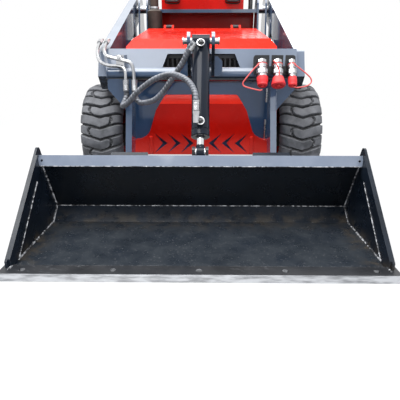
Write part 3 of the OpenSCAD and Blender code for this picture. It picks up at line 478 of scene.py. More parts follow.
def bead(points, radius, ripple=3.4):
    """A weld bead along straight runs through the points, in mm: a bar whose radius swells with
    each step of the weld, and wanders a little along the seam."""
    def swell(s, t):
        step = np.abs(np.sin(np.pi * s / (ripple * MM)))
        wander = 0.10 * np.sin(s * 131.0) + 0.07 * np.sin(s * 317.0 + 1.3)
        return radius * MM * (0.82 + 0.22 * step ** 0.7 + wander)
    return along(evenly(np.asarray(points, float) * MM, 1.2 * MM), swell, 10)


def bolt(place, way, flats):
    """A flanged hex bolt head on a face at place, in mm: its flange, then its chamfered hex."""
    f = flats
    return [lathed(place, way, [(0, f * .72), (f * .10, f * .72), (f * .16, f * .6)], 24),
            lathed(place, way, [(f * .1, f * .577), (f * .58, f * .577), (f * .66, f * .49)], 6)]


welds = []
for s in (-1, 1):
    # Towers on the side plates, their wrapper plates, and the belly plate's edges
    welds += [bead([(s * 356.5, 575, 560.5), (s * 356.5, 810, 560.5)], 2.6),
              bead([(s * 397, 579, 562), (s * 397, 579, 738)], 2.4),
              bead([(s * 397, 798, 562), (s * 397, 798, 738)], 2.4),
              bead([(s * 346, -206, 200), (s * 346, -206, 515)], 2.2),
              bead([(s * 345, -150, 174), (s * 345, 752, 174)], 2.6)]
skin("chassis_welds", welds, frame_paint, ride="chassis")

plated = []
for s in (-1, 1):
    # The front panel's bolts, and those on the outside of the towers
    plated += [g for z in (230, 330, 470) for g in bolt((s * 340, -215, z), (0, -1, 0), 12)]
    plated += [g for y in (600, 650, 790) for g in bolt((s * 406, y, 610), (s, 0, 0), 16)]
skin("chassis_bolts", plated, zinc, ride="chassis")

# A rubber seal along the panel's top closes the gap below the hood's nose
seal = along(evenly(np.array([(-332, -211, 530), (332, -211, 530.0)]) * MM, 20 * MM), 6.5 * MM, 16)
skin("panel_seal", seal, hose_grey, ride="chassis")

# Two knuckled hinge barrels stand beside the cowl on the front panel, with their bolts
knuckle = []
for low, high in ((435, 499), (257, 354)):
    d = np.linspace(0, high - low, int(high - low))
    groove = np.where(np.abs(d % ((high - low) / 3.0) - 1) < 1.2, 3.4, 4.6)
    knuckle += [lathed((309, -221, low), (0, 0, 1), list(zip(d, groove)), 20)]
    for z in (low + 14, high - 14):
        knuckle += bolt((324, -215, z), (0, -1, 0), 8)
skin("panel_hinges", knuckle, zinc, ride="chassis")

# ---------------------------------------------------------------- engine bay
# A small engine, two tanks with screw caps and a silencer fill the bay. The engine is cast
# iron, the fuel tank black plastic, the oil tank painted steel, and the silencer scorched.

cast_iron = finish_coat("cast_iron", (0.055, 0.056, 0.058), (0.030, 0.030, 0.032),
                        (0.14, 0.13, 0.12), (0.16, 0.15, 0.14), gloss=0.5, coat=0.0,
                        evenness=0.6, grain=260.0, grain_height=0.0003)
tank_plastic = finish_coat("tank_plastic", (0.030, 0.031, 0.033), (0.018, 0.018, 0.020),
                           (0.16, 0.155, 0.15), (0.09, 0.09, 0.09), gloss=0.42, coat=0.0,
                           evenness=0.5, grain=700.0, grain_height=0.0001, wear=0.3)
scorched = finish_coat("scorched_steel", (0.10, 0.075, 0.06), (0.035, 0.03, 0.028),
                       (0.20, 0.18, 0.16), (0.24, 0.17, 0.12), gloss=0.45, coat=0.0,
                       metallic=0.6, evenness=0.4, wear=0.5)
dress(cast_iron, "engine_block", "wheel_motors")
dress(tank_plastic, "fuel_tank")
dress(scorched, "exhaust")


def lobed(count, depth):
    """Finger grips round a cap: the radius dips count times by a share of depth."""
    return lambda a: 1 - depth * (0.5 + 0.5 * np.cos(count * a)) ** 3


caps = [lathed((s * 110, 510, 767.5), (0, 0, 1), [(0, 34.2), (1, 34.8), (17, 34.8), (19.4, 32.5),
                                                  (19.6, 22), (18.6, 20), (18.6, 1)], 96,
               lobed(24, 0.05)) for s in (-1, 1)]
skin("tank_cap_grips", caps, tank_plastic, ride="chassis")
skin("silencer_clamps", [lathed((-290, 495, 760 + z), (0, 0, 1), [(0, 26), (1, 27.4), (11, 27.4),
                                                                  (12, 26)], 40)
                         for z in (152, 12)], zinc, ride="chassis")

# ---------------------------------------------------------------- red sheet metal
# The front cowl, side covers, hood and rear panel are thin steel sheet, folded and sprayed in
# gloss red. Bolts hold the covers, and hinges the hood.


def foot_bounce_light(tree, base):
    """Painted light: the sheet turns paler and pinker towards its foot, as if lit by light thrown
    up from the floor and the bucket.
    """
    place = object_place(tree)
    high = add(tree, "ShaderNodeSeparateXYZ", {0: place}).outputs[2]
    bounce_light = times(tree, between(tree, high, 0.31, 0.19), 0.6)
    return tint(tree, bounce_light, base, rgb(0.80, 0.075, 0.06))


# The red's tone on faces that look up is a bright red, not dust: a painted highlight. Its edges
# turn a paler red, also painted highlights, and its faces that look down a dark red, painted shade.
red_paint = finish_coat("red_paint", (0.58, 0.008, 0.004), (0.46, 0.006, 0.003),
                        (1.0, 0.035, 0.018), (0.85, 0.08, 0.05), gloss=0.2, coat=0.06,
                        top_low=0.3, top_high=0.75, evenness=0.9, wear=0.2, scuffs=0.05,
                        specular=0.08, shine=0.05, reach=0.002, underside_shade=(0.12, 0.008, 0.006),
                        smears=0.1, over=foot_bounce_light)
dress(red_paint, "front_cowl", "side_covers", "hood", "rear_panel", "console")

# Bolts of the covers, each [place, way, size]
cover_bolts = []
for s in (-1, 1):
    cover_bolts += [((s * 364, y, z), (s, 0, 0), 11) for y, z in (
        (-190, 320), (-190, 400), (-130, 520), (60, 535), (300, 535), (545, 535), (545, 320),
        (300, 320), (150, 320))]
    cover_bolts += [((s * 325, 818, z), (0, 1, 0), 11) for z in (250, 430, 610, 790, 890)]
    cover_bolts += [((s * 100, 818, 890), (0, 1, 0), 11)]
grids = [g for place, way, flats in cover_bolts for g in bolt(place, way, flats)]
skin("cover_bolts", grids, zinc, ride="chassis")

# A pressed half-round rib with domed ends stiffens the cowl beside each row of cut-outs
rib = [(0, 0.5), (1, 5), (4, 8.5), (9, 10), (80, 10), (85, 8.5), (88, 5), (89, 0.5)]
skin("cowl_ribs", [lathed((s * 242, -260, 191), (0, 0, 1), rib, 28) for s in (-1, 1)], red_paint,
     ride="chassis")


def rounded_outline(w, h, r, n=6):
    """A rectangle with round corners about its middle: a quarter circle of n steps at each."""
    a = np.concatenate([np.linspace(q, q + 90, n + 1) for q in (0, 90, 180, 270)])
    a = np.radians(a)
    corner = np.repeat([[1, 1], [-1, 1], [-1, -1], [1, -1]], n + 1, axis=0)
    return corner * [w / 2 - r, h / 2 - r] + r * np.stack([np.cos(a), np.sin(a)], -1)


def slab(outline, place, across, up, layers):
    """A flat piece: its outline stands on the axes across and up at place, and each layer is
    (height, inset), the inset drawn towards the middle. All in mm."""
    across, up = np.asarray(across, float), np.asarray(up, float)
    across, up = across / np.linalg.norm(across), up / np.linalg.norm(up)
    way = np.cross(across, up)
    outline = np.asarray(outline, float)
    size = np.linalg.norm(outline, axis=1)[:, None]
    flat = np.stack([outline * (1 - inset / size) for _, inset in layers])
    height = np.array([h for h, _ in layers])[:, None, None]
    return (np.asarray(place, float) + flat[..., :1] * across + flat[..., 1:] * up
            + height * way) * MM


# A slam latch with a folding ring holds the hood's nose, and lifts it
latch = [slab(rounded_outline(86, 34, 8), (0, -200, 658), (1, 0, 0), (0, 0, 1),
              [(0, 0), (4, 0), (5.5, 2), (5.5, 8), (3, 10)]),
         along(evenly(curve_through([(-24, -207, 662), (-22, -209, 652), (0, -210, 646),
                                     (22, -209, 652), (24, -207, 662)], 8), 2 * MM), 3 * MM, 12)]
skin("hood_latch", latch, zinc, ride="hood")

# ---------------------------------------------------------------- black steel and plastic
# Brackets, hinges, the rail and the platform are black painted steel. The lamps' and the
# levers' moulded parts are black plastic.

black_steel = finish_coat("black_steel", (0.016, 0.018, 0.022), (0.008, 0.009, 0.011),
                          (0.085, 0.09, 0.10), (0.16, 0.165, 0.17), gloss=0.26, coat=0.2,
                          evenness=0.3, top_low=0.3, top_high=0.95, specular=0.35)
black_plastic = finish_coat("black_plastic", (0.020, 0.020, 0.022), (0.012, 0.012, 0.013),
                            (0.10, 0.10, 0.10), (0.10, 0.10, 0.10), gloss=0.45, coat=0.0,
                            evenness=0.3, grain=900.0, grain_height=0.0001, wear=0.3,
                            top_low=0.3, top_high=0.95)
dress(black_steel, "grab_rail", "hood_grille", "hood_hinges", "coupler_bracket",
      "quick_attach")
dress(black_plastic, "levers", "work_lamps")

# ---------------------------------------------------------------- console
# The console is a folded red box with a round gauge, two pairs of levers in rubber boots, and
# a work lamp on each side that looks over the arm.

FALL = 0.3
LEVER_Y = 735
# Each lever: place across the console, height of its knob's collar
LEVERS = ((-200, 86), (-150, 86), (150, 86), (200, 68))
SLOPE = math.atan(FALL)
CONSOLE_UP = np.array([0, math.sin(SLOPE), math.cos(SLOPE)])


def on_console(x, y, high=0.0):
    """A point on the console's sloping top, raised square to it, in mm."""
    z = 1092 - FALL * (y - 808)
    return np.array([x, y, z]) + high * CONSOLE_UP


boots = []
for x, _ in LEVERS:
    d = np.linspace(0, 24, 60)
    fold = 20.5 - 11.5 * d / 24 + 1.5 * np.cos(2 * np.pi * d / 6.0)
    fold[0], fold[-1] = 21.5, 5.6
    boots.append(lathed(on_console(x, LEVER_Y, 0.3), CONSOLE_UP, list(zip(d, fold)), 32))
skin("lever_boots", boots, black_plastic, ride="chassis")

knob_red = finish_coat("knob_red", (0.50, 0.02, 0.015), (0.4, 0.015, 0.01), (0.6, 0.1, 0.08),
                       (0.6, 0.1, 0.08), gloss=0.2, coat=0.3, wear=0.1, scuffs=0.05)
rings = [lathed(on_console(x, LEVER_Y, high - 20), CONSOLE_UP,
                [(0, 6), (0.6, 8.6), (4, 8.6), (4.6, 6)], 32)
         for x, high in LEVERS]
skin("knob_collars", rings, knob_red, ride="chassis")

place = on_console(0, 745)
skin("gauge_rim", lathed(place + [0, 0, -13.6], (0, 0, 1), [
    (0, 31.6), (12.4, 31.6), (14.6, 33.5), (16.4, 33), (17, 30), (15.4, 28), (6, 27.4), (5.5, 0.1)
], 64), black_plastic, ride="chassis")
dial_white = finish_coat("dial_white", (0.80, 0.80, 0.78), (0.76, 0.76, 0.74), (0.7, 0.7, 0.68),
                         (0.7, 0.7, 0.68), gloss=0.35, coat=0.4, wear=0.0, scuffs=0.02)
skin("gauge_dial", lathed(place + [0, 0, -8], (0, 0, 1), [(0, 27), (0.8, 27), (0.9, 0.1)], 48),
     dial_white, ride="chassis")
ticks = []
for k in range(-5, 6):
    turn = math.radians(27 * k)
    way = (math.sin(turn), math.cos(turn), 0)
    ticks.append(slab(rounded_outline(1.4, 5.0 if k % 5 else 8.0, 0.5, 2),
                      place + np.multiply(way, 22) + [0, 0, -7.2], (way[1], -way[0], 0), way,
                      [(0, 0), (0.3, 0)]))
aim = (math.sin(-0.9), math.cos(-0.9), 0)
ticks.append(slab([(-1.6, -5), (1.6, -5), (0.5, 20), (-0.5, 20)], place + [0, 0, -6.2],
                  (aim[1], -aim[0], 0), aim, [(0, 0), (0.5, 0)]))
ticks.append(lathed(place + [0, 0, -6.6], (0, 0, 1), [(0, 3.6), (1.6, 3.2), (2, 1)], 24))
skin("gauge_marks", ticks, black_plastic, ride="chassis")

# Each lamp has a lens with upright flutes, and an arched bracket bolted at both its ends
lamp_lens, tree, out = blank("lamp_lens")
place = object_place(tree)
cloud = between(tree, grown(tree, place, 60.0), 0.35, 0.65)
base = tint(tree, cloud, rgb(0.62, 0.65, 0.68), rgb(0.80, 0.82, 0.84))
surface(tree, out, base, maths(tree, "MULTIPLY_ADD", cloud, 0.06, 0.08), coat_weight=1.0,
        coat_roughness=0.03, specular=0.8)


def fluted(x0, x1, z0, z1, y, deep):
    """A lens: a crowned sheet with upright flutes 5 mm wide that stand out by deep."""
    x, z = np.meshgrid(np.linspace(x0, x1, 121), np.linspace(z0, z1, 13), indexing="ij")
    u, v = (x - x0) / (x1 - x0) * 2 - 1, (z - z0) / (z1 - z0) * 2 - 1
    crown = 1.8 * (1 - u ** 4) * (1 - v ** 4)
    flute = deep * np.abs(np.sin(np.pi * (x - x0) / 5.0)) * (1 - np.abs(u) ** 12)
    return np.stack([x, y - crown - flute, z], -1) * MM


LAMP_X, LENS_HALF, EAR = 190, 32, 41
for name, s in (("left", 1), ("right", -1)):
    x = s * LAMP_X
    lens = skin("lamp_lens_" + name, fluted(x - LENS_HALF, x + LENS_HALF, 973, 1017, 593.5, 0.6),
                lamp_lens, wrap_v=False, cap=False, ride="chassis")
    thick = lens.modifiers.new("lens", "SOLIDIFY")
    thick.thickness = 0.0015
    thick.offset = -1
    arch = along(evenly(curve_through([
        (x - 42, 608, 995), (x - 44, 612, 975), (x - 40, 622, 960), (x, 630, 957),
        (x + 40, 622, 960), (x + 44, 612, 975), (x + 42, 608, 995)], 6), 3 * MM), 3.5 * MM, 10)
    skin("lamp_bracket_" + name, [arch] + bolt((x - EAR, 605, 995), (-1, 0, 0), 8)
         + bolt((x + EAR, 605, 995), (1, 0, 0), 8), black_steel,
         ride="chassis")

# ---------------------------------------------------------------- thigh pad
# The operator leans against a pad behind the rear panel. It is vinyl over foam, stapled to a
# board, with a piped seam round its face and two sewn channels across it.

PAD_LOW, PAD_HIGH = np.array([-200, 818.3, 780]), np.array([200, 863.3, 900])
vinyl, tree, out = blank("pad_vinyl")
place = object_place(tree)
cloud = between(tree, grown(tree, place, 9.0, 6.0), 0.35, 0.7)
base = tint(tree, cloud, rgb(0.016, 0.016, 0.018), rgb(0.030, 0.030, 0.033))
dust_and_light = place_effect(tree, "Tone by facing", low=0.1, high=1.0, evenness=0.3, scale=20.0)
base = tint(tree, dust_and_light, base, rgb(0.16, 0.155, 0.15))
cells = add(tree, "ShaderNodeTexVoronoi", {"Vector": place, "Scale": 620.0},
            feature="DISTANCE_TO_EDGE").outputs["Distance"]
leather = between(tree, cells, 0.0, 0.16)
surface(tree, out, base, maths(tree, "MULTIPLY_ADD", leather, -0.12, 0.55), leather, 0.00025,
        0.7, specular=0.45)


def pad_shell(low, high, step=6.0):
    """A closed box of even quads with its corners rounded: each point of a cube's six faces,
    drawn onto a rounded box of radius 14 mm."""
    size = high - low
    count = np.maximum((size / step).round().astype(int), 2)
    grids = []
    for k in range(3):
        a, b = [(1, 2), (2, 0), (0, 1)][k]
        u, v = np.meshgrid(np.linspace(0, 1, count[a] + 1), np.linspace(0, 1, count[b] + 1),
                           indexing="ij")
        for end in (0, 1):
            p = np.zeros(u.shape + (3,))
            p[..., a], p[..., b], p[..., k] = u, v, end
            grids.append(p[::-1] if end == 0 else p)
    r = 14.0
    out = []
    for p in grids:
        at = low + p * size
        core = np.clip(at, low + r, high - r)
        away = at - core
        far = np.linalg.norm(away, axis=-1, keepdims=True)
        out.append((core + away / np.maximum(far, 1e-6) * np.minimum(far, r)) * MM)
    return out


pad = skin("thigh_pad_padded", pad_shell(PAD_LOW + [9, 5, 9], PAD_HIGH - [9, 14, 9]), vinyl,
           wrap_v=False, cap=False)
merge = pad.modifiers.new("merge", "WELD")
merge.merge_threshold = 0.0002
voxels = pad.modifiers.new("voxels", "REMESH")
voxels.mode = "VOXEL"
voxels.voxel_size = 0.005
bpy.context.view_layer.update()
grid = bpy.context.evaluated_depsgraph_get()
fresh = bpy.data.meshes.new_from_object(pad.evaluated_get(grid))
pad.modifiers.clear()
pad.data = fresh
start = np.empty(len(fresh.vertices) * 3)
fresh.vertices.foreach_get("co", start)
start = start.reshape(-1, 3)
# The board at the back and the sewn channels are held
held = (start[:, 1] < 0.8255) | (np.abs(np.abs(start[:, 0]) - 0.068) < 0.0035)
pins = pad.vertex_groups.new(name="held")
pins.add(np.flatnonzero(held).tolist(), 1.0, "REPLACE")
cloth = pad.modifiers.new("stuffing", "CLOTH")
cloth.settings.use_pressure = True
cloth.settings.uniform_pressure_force = 4
cloth.settings.vertex_group_mass = "held"
cloth.settings.effector_weights.gravity = 0
scene = bpy.context.scene
for frame_number in range(1, 21):
    scene.frame_set(frame_number)
depsgraph = bpy.context.evaluated_depsgraph_get()
blown = bpy.data.meshes.new_from_object(pad.evaluated_get(depsgraph))
end = np.empty(len(blown.vertices) * 3)
blown.vertices.foreach_get("co", end)
moved = end.reshape(-1, 3) - start
far = np.linalg.norm(moved, axis=1)[:, None]
moved *= np.minimum(1, 0.012 / np.maximum(far, 1e-9))
settled = np.clip(start + moved, (PAD_LOW - [4, 0, 4]) * MM, (PAD_HIGH + [4, 4, 4]) * MM)
pad.modifiers.clear()
pad.vertex_groups.clear()
fresh.vertices.foreach_set("co", settled.ravel())
scene.frame_set(1)
fresh.materials.clear()
fresh.materials.append(vinyl)
fresh.polygons.foreach_set("use_smooth", [True] * len(fresh.polygons))
finer = pad.modifiers.new("finer", "SUBSURF")
finer.levels = finer.render_levels = 1
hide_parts("thigh_pad")
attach(pad, "chassis")

outline = rounded_outline(372, 92, 22, 10)
seam = np.column_stack([outline[:, 0], np.full(len(outline), 852.0), outline[:, 1] + 840]) * MM
ring = np.vstack([seam, seam[:1]])
piping = along(evenly(ring, 3 * MM)[:-1], 2.6 * MM, 10)
skin("thigh_pad_piping", piping, vinyl, wrap_u=True, ride="chassis")
board = slab(rounded_outline(396, 116, 16), (0, 818.3, 840), (-1, 0, 0), (0, 0, 1),
             [(0, 0), (6, 0), (7, 1)])
skin("thigh_pad_board", board, black_plastic, ride="chassis")

# ---------------------------------------------------------------- platform
# The operator stands on a steel tread plate with raised studs in two directions. It folds up
# on a round bar.

STUD_PITCH = 24
TREAD_TOP = 211.6
studs = []
for row in range(11):
    for k in range(22):
        x, y = -252 + STUD_PITCH * k, 872 + STUD_PITCH * row
        if abs(x) > 235 and y > 1085:
            continue
        turn = math.radians(45 if (row + k) % 2 else -45)
        across = (math.cos(turn), math.sin(turn), 0)
        studs.append(slab(rounded_outline(20, 6, 2.9, 2), (x, y, TREAD_TOP), across,
                          (-across[1], across[0], 0), [(0, 0), (1.4, 0.8), (2.0, 1.8)]))
tread = finish_coat("tread_plate", (0.030, 0.032, 0.036), (0.016, 0.017, 0.020),
                    (0.20, 0.20, 0.20), (0.34, 0.34, 0.35), gloss=0.3, coat=0.1,
                    metallic=0.4, evenness=0.4, wear=1.0, reach=0.002, top_low=0.5)
skin("platform_studs", studs, tread, ride="platform")
dress(tread, "platform")


# ---------------------------------------------------------------- arm fittings
# Pins of plated steel carry the arm. Two steel pipes bring the oil along the left beam to the
# tilt hoses, and three quick couplers with rubber caps serve a tool's own hoses.

dress(zinc, "arm_pins", "tilt_pin", "quick_couplers", "steel_pipes", "pipe_clamp",
      "tool_pins")

PIVOT_X, PIVOT_Y, PIVOT_Z = 473.5, 695, 930
fittings = []
for s in (-1, 1):
    # The lift pivot's nut, and the three bolts round it
    fittings += bolt((s * PIVOT_X, PIVOT_Y, PIVOT_Z), (s, 0, 0), 30)
    for turn in (30, 150, 270):
        a = math.radians(turn)
        fittings += bolt((s * PIVOT_X, PIVOT_Y + 31 * math.cos(a), PIVOT_Z + 31 * math.sin(a)),
                         (s, 0, 0), 9)
# The pipes' nuts, and the bolt of their clamp
fittings += bolt((-349, -372, 634), (0, -0.97, 0.25), 15)
fittings += [lathed(place, way, [(0, 7.2), (0.5, 12.2), (15, 12.2), (16, 10), (17, 10),
                                 (17.5, 11.6), (30, 11.6), (31, 7.5)], 6)
             for place, way in (((-455, -232, 705.5), (0, -1, -0.35)),
                                ((-425, -232, 705.5), (0, -1, -0.33)))]
skin("arm_fittings", fittings, zinc, ride="lift_arm")

arm_welds = []
for s in (-1, 1):
    ring = np.radians(np.linspace(0, 360, 49))
    arm_welds.append(bead(np.column_stack([np.full(49, s * 416.5), -295 + 31 * np.cos(ring),
                                           564 + 31 * np.sin(ring)]), 3.2))
    # Lug on the cross tube, leg to its gusset, and front plate to the tube
    arm_welds += [bead([(s * 43.5, -336, 590), (s * 43.5, -336, 636)], 2.4),
                  bead([(s * 58.5, -325, 600), (s * 58.5, -325, 640)], 2.4),
                  bead([(s * 334.5, -319, 536), (s * 334.5, -362, 415)], 2.2)]
arm_welds.append(bead([(-415, -318.5, 571.5), (415, -318.5, 571.5)], 2.4))
skin("arm_welds", arm_welds, frame_paint, ride="lift_arm")


def knurl(a):
    """A sleeve's straight knurl: 36 ridges, 3% of the radius high."""
    return 1 + 0.03 * np.abs(np.sin(18 * a))


COUPLERS = ((260, 46, 42), (327, 42, 60), (387, 34, 36))
TIPPED = np.array([0, -math.sin(math.radians(150)), math.cos(math.radians(150))])


def on_coupler(x, far, round_by=0.0, turn=0.0):
    """A point far along a coupler that points down and forwards, and off its axis by round_by at
    an angle of turn degrees, 0 across the machine and 90 up. In mm."""
    up = np.array([0, TIPPED[2], -TIPPED[1]])
    a = math.radians(turn)
    return (np.array([x, -360, 625]) + far * TIPPED
            + round_by * (math.cos(a) * np.array([1, 0, 0]) + math.sin(a) * up))


sleeves = []
for x, d, end in COUPLERS:
    r = d / 2
    sleeves.append(lathed(on_coupler(x, 0), TIPPED, [(47, r * .8), (47.5, r + .2), (65, r + .2),
                                                     (65.5, r * .8)], 144, knurl))
    sleeves.append(lathed(on_coupler(x, 0), TIPPED, [(2, r * .7), (2.5, r * .84), (14, r * .84),
                                                     (15, r * .7)], 6))
    sleeves.append(lathed(on_coupler(x, 0), TIPPED, [(27, r), (27.5, r + .9), (30.5, r + .9),
                                                     (31, r)], 48))
skin("coupler_sleeves", sleeves, zinc, ride="lift_arm")

cap_red = finish_coat("cap_red", (0.84, 0.050, 0.058), (0.72, 0.035, 0.042),
                      (0.90, 0.16, 0.15), (0.85, 0.14, 0.13), gloss=0.4, coat=0.0, wear=0.2,
                      scuffs=0.1, top_low=0.3, top_high=0.9, specular=0.25,
                      underside_shade=(0.36, 0.008, 0.012))
dress(cap_red, "coupler_caps")
tether_red = finish_coat("tether_red", (0.72, 0.10, 0.10), (0.60, 0.06, 0.06),
                         (0.80, 0.30, 0.28), (0.80, 0.30, 0.28), gloss=0.38, coat=0.0, wear=0.1,
                         scuffs=0.0, top_low=0.3, top_high=0.9, specular=0.4,
                         underside_shade=(0.62, 0.06, 0.07))


def collar(x, far, radius, thick):
    """A ring of a rubber strap round a coupler."""
    a = np.radians(np.linspace(0, 360, 41))[:-1]
    up = np.array([0, TIPPED[2], -TIPPED[1]])
    path = (on_coupler(x, far) + radius * (np.cos(a)[:, None] * [1, 0, 0]
                                           + np.sin(a)[:, None] * up)) * MM
    return along(path, thick * MM, 8)


# Each strap runs from its ring on the coupler, out in a loop, and back to the cap's nub
LEFT_LOOP = [(249, -384, 612), (243, -392, 608), (222, -402, 590), (196, -410, 560),
             (178, -414, 536), (182, -418, 522), (206, -424, 514), (232, -428, 508),
             (249, -428, 505), (258, -424, 508)]
RIGHT_LOOP = [(389, -382, 616), (398, -388, 606), (420, -394, 590), (446, -400, 570),
              (464, -404, 552), (466, -408, 536), (450, -416, 524), (424, -422, 518),
              (402, -424, 516), (390, -420, 520)]
MIDDLE_LOOP = [(312, -372, 616), (306, -384, 622), (310, -396, 618), (320, -402, 604),
               (327, -408, 588), (327, -418, 568), (327, -428, 548), (327, -434, 536)]
for name, loop in (("left", LEFT_LOOP), ("right", RIGHT_LOOP), ("middle", MIDDLE_LOOP)):
    path = evenly(curve_through(loop, 6), 1.5 * MM)
    skin("cap_strap_" + name, along(path, 2.9 * MM, 12), tether_red,
         ride="lift_arm")
skin("cap_rings", [collar(x, 22, d / 2 * .9, 2.6) for x, d, _ in COUPLERS], tether_red,
     wrap_u=True, ride="lift_arm")
nubs = [lathed(on_coupler(x, 119.5), TIPPED, [(0, e * .14), (1.5, e * .17), (4, e * .17),
                                              (5.5, e * .1)], 20) for x, _, e in COUPLERS]
skin("cap_nubs", nubs, cap_red, ride="lift_arm")

# ---------------------------------------------------------------- cylinders
# Three double-acting hydraulic cylinders: honed tubes in gloss black, rods in hard chrome, and
# forged eyes. A gland nut closes each tube round its rod, behind a wiper ring.

barrel_black = finish_coat("barrel_black", (0.013, 0.018, 0.030), (0.009, 0.013, 0.022),
                           (0.034, 0.043, 0.060), (0.13, 0.14, 0.15), gloss=0.14, coat=0.05,
                           evenness=0.2, top_low=0.5, top_high=1.2, specular=0.2, wear=0.3,
                           smears=0.06, scuffs=0.1, shine=0.03, underside_shade=(0.008, 0.009, 0.011))
dress(barrel_black, "lift_barrel_left", "lift_barrel_right", "tilt_barrel")
chrome = finish_coat("chrome", (0.80, 0.81, 0.83), (0.72, 0.73, 0.75), (0.7, 0.7, 0.7),
                     (0.4, 0.4, 0.4), gloss=0.06, coat=0.0, metallic=1.0, wear=0.1,
                     scuffs=0.05, evenness=0.1, top_low=0.6, top_high=1.0, smears=0.05,
                     underside_shade=(0.5, 0.5, 0.5))
dress(chrome, "lift_rod_left", "lift_rod_right", "tilt_rod")

TILT_TOP, TILT_EYE = np.array([0, -375, 700.0]), np.array([0, -645, 286.0])
DOWN = (TILT_EYE - TILT_TOP) / np.linalg.norm(TILT_EYE - TILT_TOP)
OUT = np.cross([1, 0, 0], DOWN)
OUT = OUT if OUT[1] < 0 else -OUT


def gland(end, way, od, rod):
    """A gland nut at a barrel's mouth with six spanner slots, then the wiper ring's lip."""
    def slots(a):
        return 1 - 0.06 * (np.cos(6 * a) > 0.86)
    return [lathed(end, way, [(-24, od / 2 - 1), (-23.5, od / 2 + .6), (-2, od / 2 + .6),
                              (-.5, od / 2 - 2), (-.5, rod / 2 + 6)], 120, slots),
            lathed(end, way, [(-.6, rod / 2 + 6), (1.6, rod / 2 + 5), (3.2, rod / 2 + 1.4),
                              (3.2, rod / 2 + .6), (-.6, rod / 2 + .6)], 48)]


skin("tilt_gland", gland(TILT_TOP + 430 * DOWN, DOWN, 72, 30), barrel_black,
     ride="tilt_barrel")
banjos, bolts = [], []
for far in (45, 385):
    base = TILT_TOP + far * DOWN
    banjos.append(lathed(base + 47 * OUT, OUT, [(0, 13), (.8, 16.5), (10, 16.5), (11, 13)], 40))
    bolts += bolt(base + 58 * OUT, OUT, 13)
# Ferrules: one stands on the lower banjo, and one lies beside the upper
x, y, _ = ROD_HOSE[-1]
banjos += [lathed((x, y, 448), (0, 0, 1), crimped(38), 32),
           lathed((x, y, 434), (0, 0, 1), [(0, 13), (1, 14.5), (12, 14.5), (13, 13)], 6),
           lathed((x, y, 402.3), (0, 0, 1), [(0, 12.6), (33, 12.6)], 32)]
banjos.append(lathed((-23.5, -458, 691.5), (-0.55, 0.08, -0.83), crimped(34, 12.3), 32))
skin("tilt_fittings", banjos, zinc, ride="tilt_barrel")
skin("banjo_bolts", bolts, black_steel, ride="tilt_barrel")
# The rod's eye is a forging, painted with the barrel, and its neck is screwed on the rod
skin("tilt_rod_eye", [lathed(TILT_EYE - [17.3, 0, 0], (1, 0, 0), [
    (0, 12.8), (0, 23), (2, 25), (32.6, 25), (34.6, 23), (34.6, 12.8)], 48),
    lathed(TILT_EYE - 21 * DOWN, -DOWN, [(0, 17.2), (7, 17.2), (9, 15.6)], 40)],
     barrel_black, ride="tilt_rod")
for name, s in (("left", 1), ("right", -1)):
    foot, eye = np.array([s * 440.5, 265, 220.0]), np.array([s * 440.5, 557.7, 753.4])
    way = (eye - foot) / np.linalg.norm(eye - foot)
    # A weld runs round the tube's neck, above the foot
    a = np.radians(np.linspace(0, 360, 37))[:, None]
    ring = foot + 37 * way + 24 * np.cos(a) * [1, 0, 0] + 24 * np.sin(a) * np.cross(way, [1, 0, 0])
    ports = gland(foot + 540 * way, way, 60, 28) + [bead(ring, 3)]
    skin("lift_gland_" + name, ports, barrel_black,
         ride="lift_barrel_" + name[0])
collars = [lathed((s * 72, -375, 700), (s, 0, 0), [(0, 12.5), (.2, 15), (5, 15), (6, 12.5)], 32)
           for s in (-1, 1)]
skin("tilt_pin_collars", collars, zinc, ride="lift_arm")

# ---------------------------------------------------------------- bucket
# The bucket is bent and welded plate, painted black inside and scoured by what it carries. Its
# top bar is sprayed grey-blue, and its cutting edge's bevel is painted pale: bare steel and
# painted sky light.


def dirt_and_dust(tree, base):
    """Adds specks of dust on the floor, and brown dirt in its corners and along its foot."""
    place = object_place(tree)
    part = add(tree, "ShaderNodeSeparateXYZ", {0: place}).outputs
    specks = between(tree, grown(tree, place, 190.0, 2.0), 0.66, 0.72)
    low = between(tree, part[2], 0.055, 0.004)
    base = tint(tree, times(tree, times(tree, specks, low), 0.7), base,
                rgb(0.22, 0.22, 0.23))
    out_by = between(tree, maths(tree, "ABSOLUTE", part[0]), 0.50, 0.592)
    behind = between(tree, part[1], -0.80, -0.66)
    corner = maths(tree, "MAXIMUM", out_by, times(tree, behind, 0.7))
    ragged = between(tree, grown(tree, place, 26.0, 8.0), 0.42, 0.66)
    dirt = times(tree, times(tree, corner, low), ragged)
    return tint(tree, times(tree, dirt, 0.75), base, rgb(0.085, 0.070, 0.052))


bucket_steel = finish_coat("bucket_steel", (0.0095, 0.0160, 0.0280), (0.005, 0.009, 0.016),
                           (0.037, 0.044, 0.053), (0.11, 0.115, 0.125), gloss=0.24,
                           evenness=0.45, top_low=0.70, top_high=0.98, scuffs=0.35, wear=0.5,
                           coat=0.12, specular=0.3, smears=0.2, underside_shade=(0.005, 0.007, 0.010),
                           reach=0.002, over=dirt_and_dust)
dress(bucket_steel, "bucket_shell")
dress(barrel_black, "bucket_receiver")
# The top bar takes the frame's grey-blue, with its own paler tone on faces that look up: dust, and
# painted top light.
bar_paint = finish_coat("bar_paint", (0.048, 0.085, 0.158), (0.038, 0.070, 0.132),
                        (0.235, 0.270, 0.335), (0.42, 0.43, 0.46), gloss=0.16, coat=0.4,
                        top_low=0.28, top_high=0.6, evenness=0.75, wear=0.7, scuffs=0.3,
                        specular=0.25, smears=0.1, underside_shade=(0.008, 0.009, 0.010))
dress(bar_paint, "bucket_top_bar")


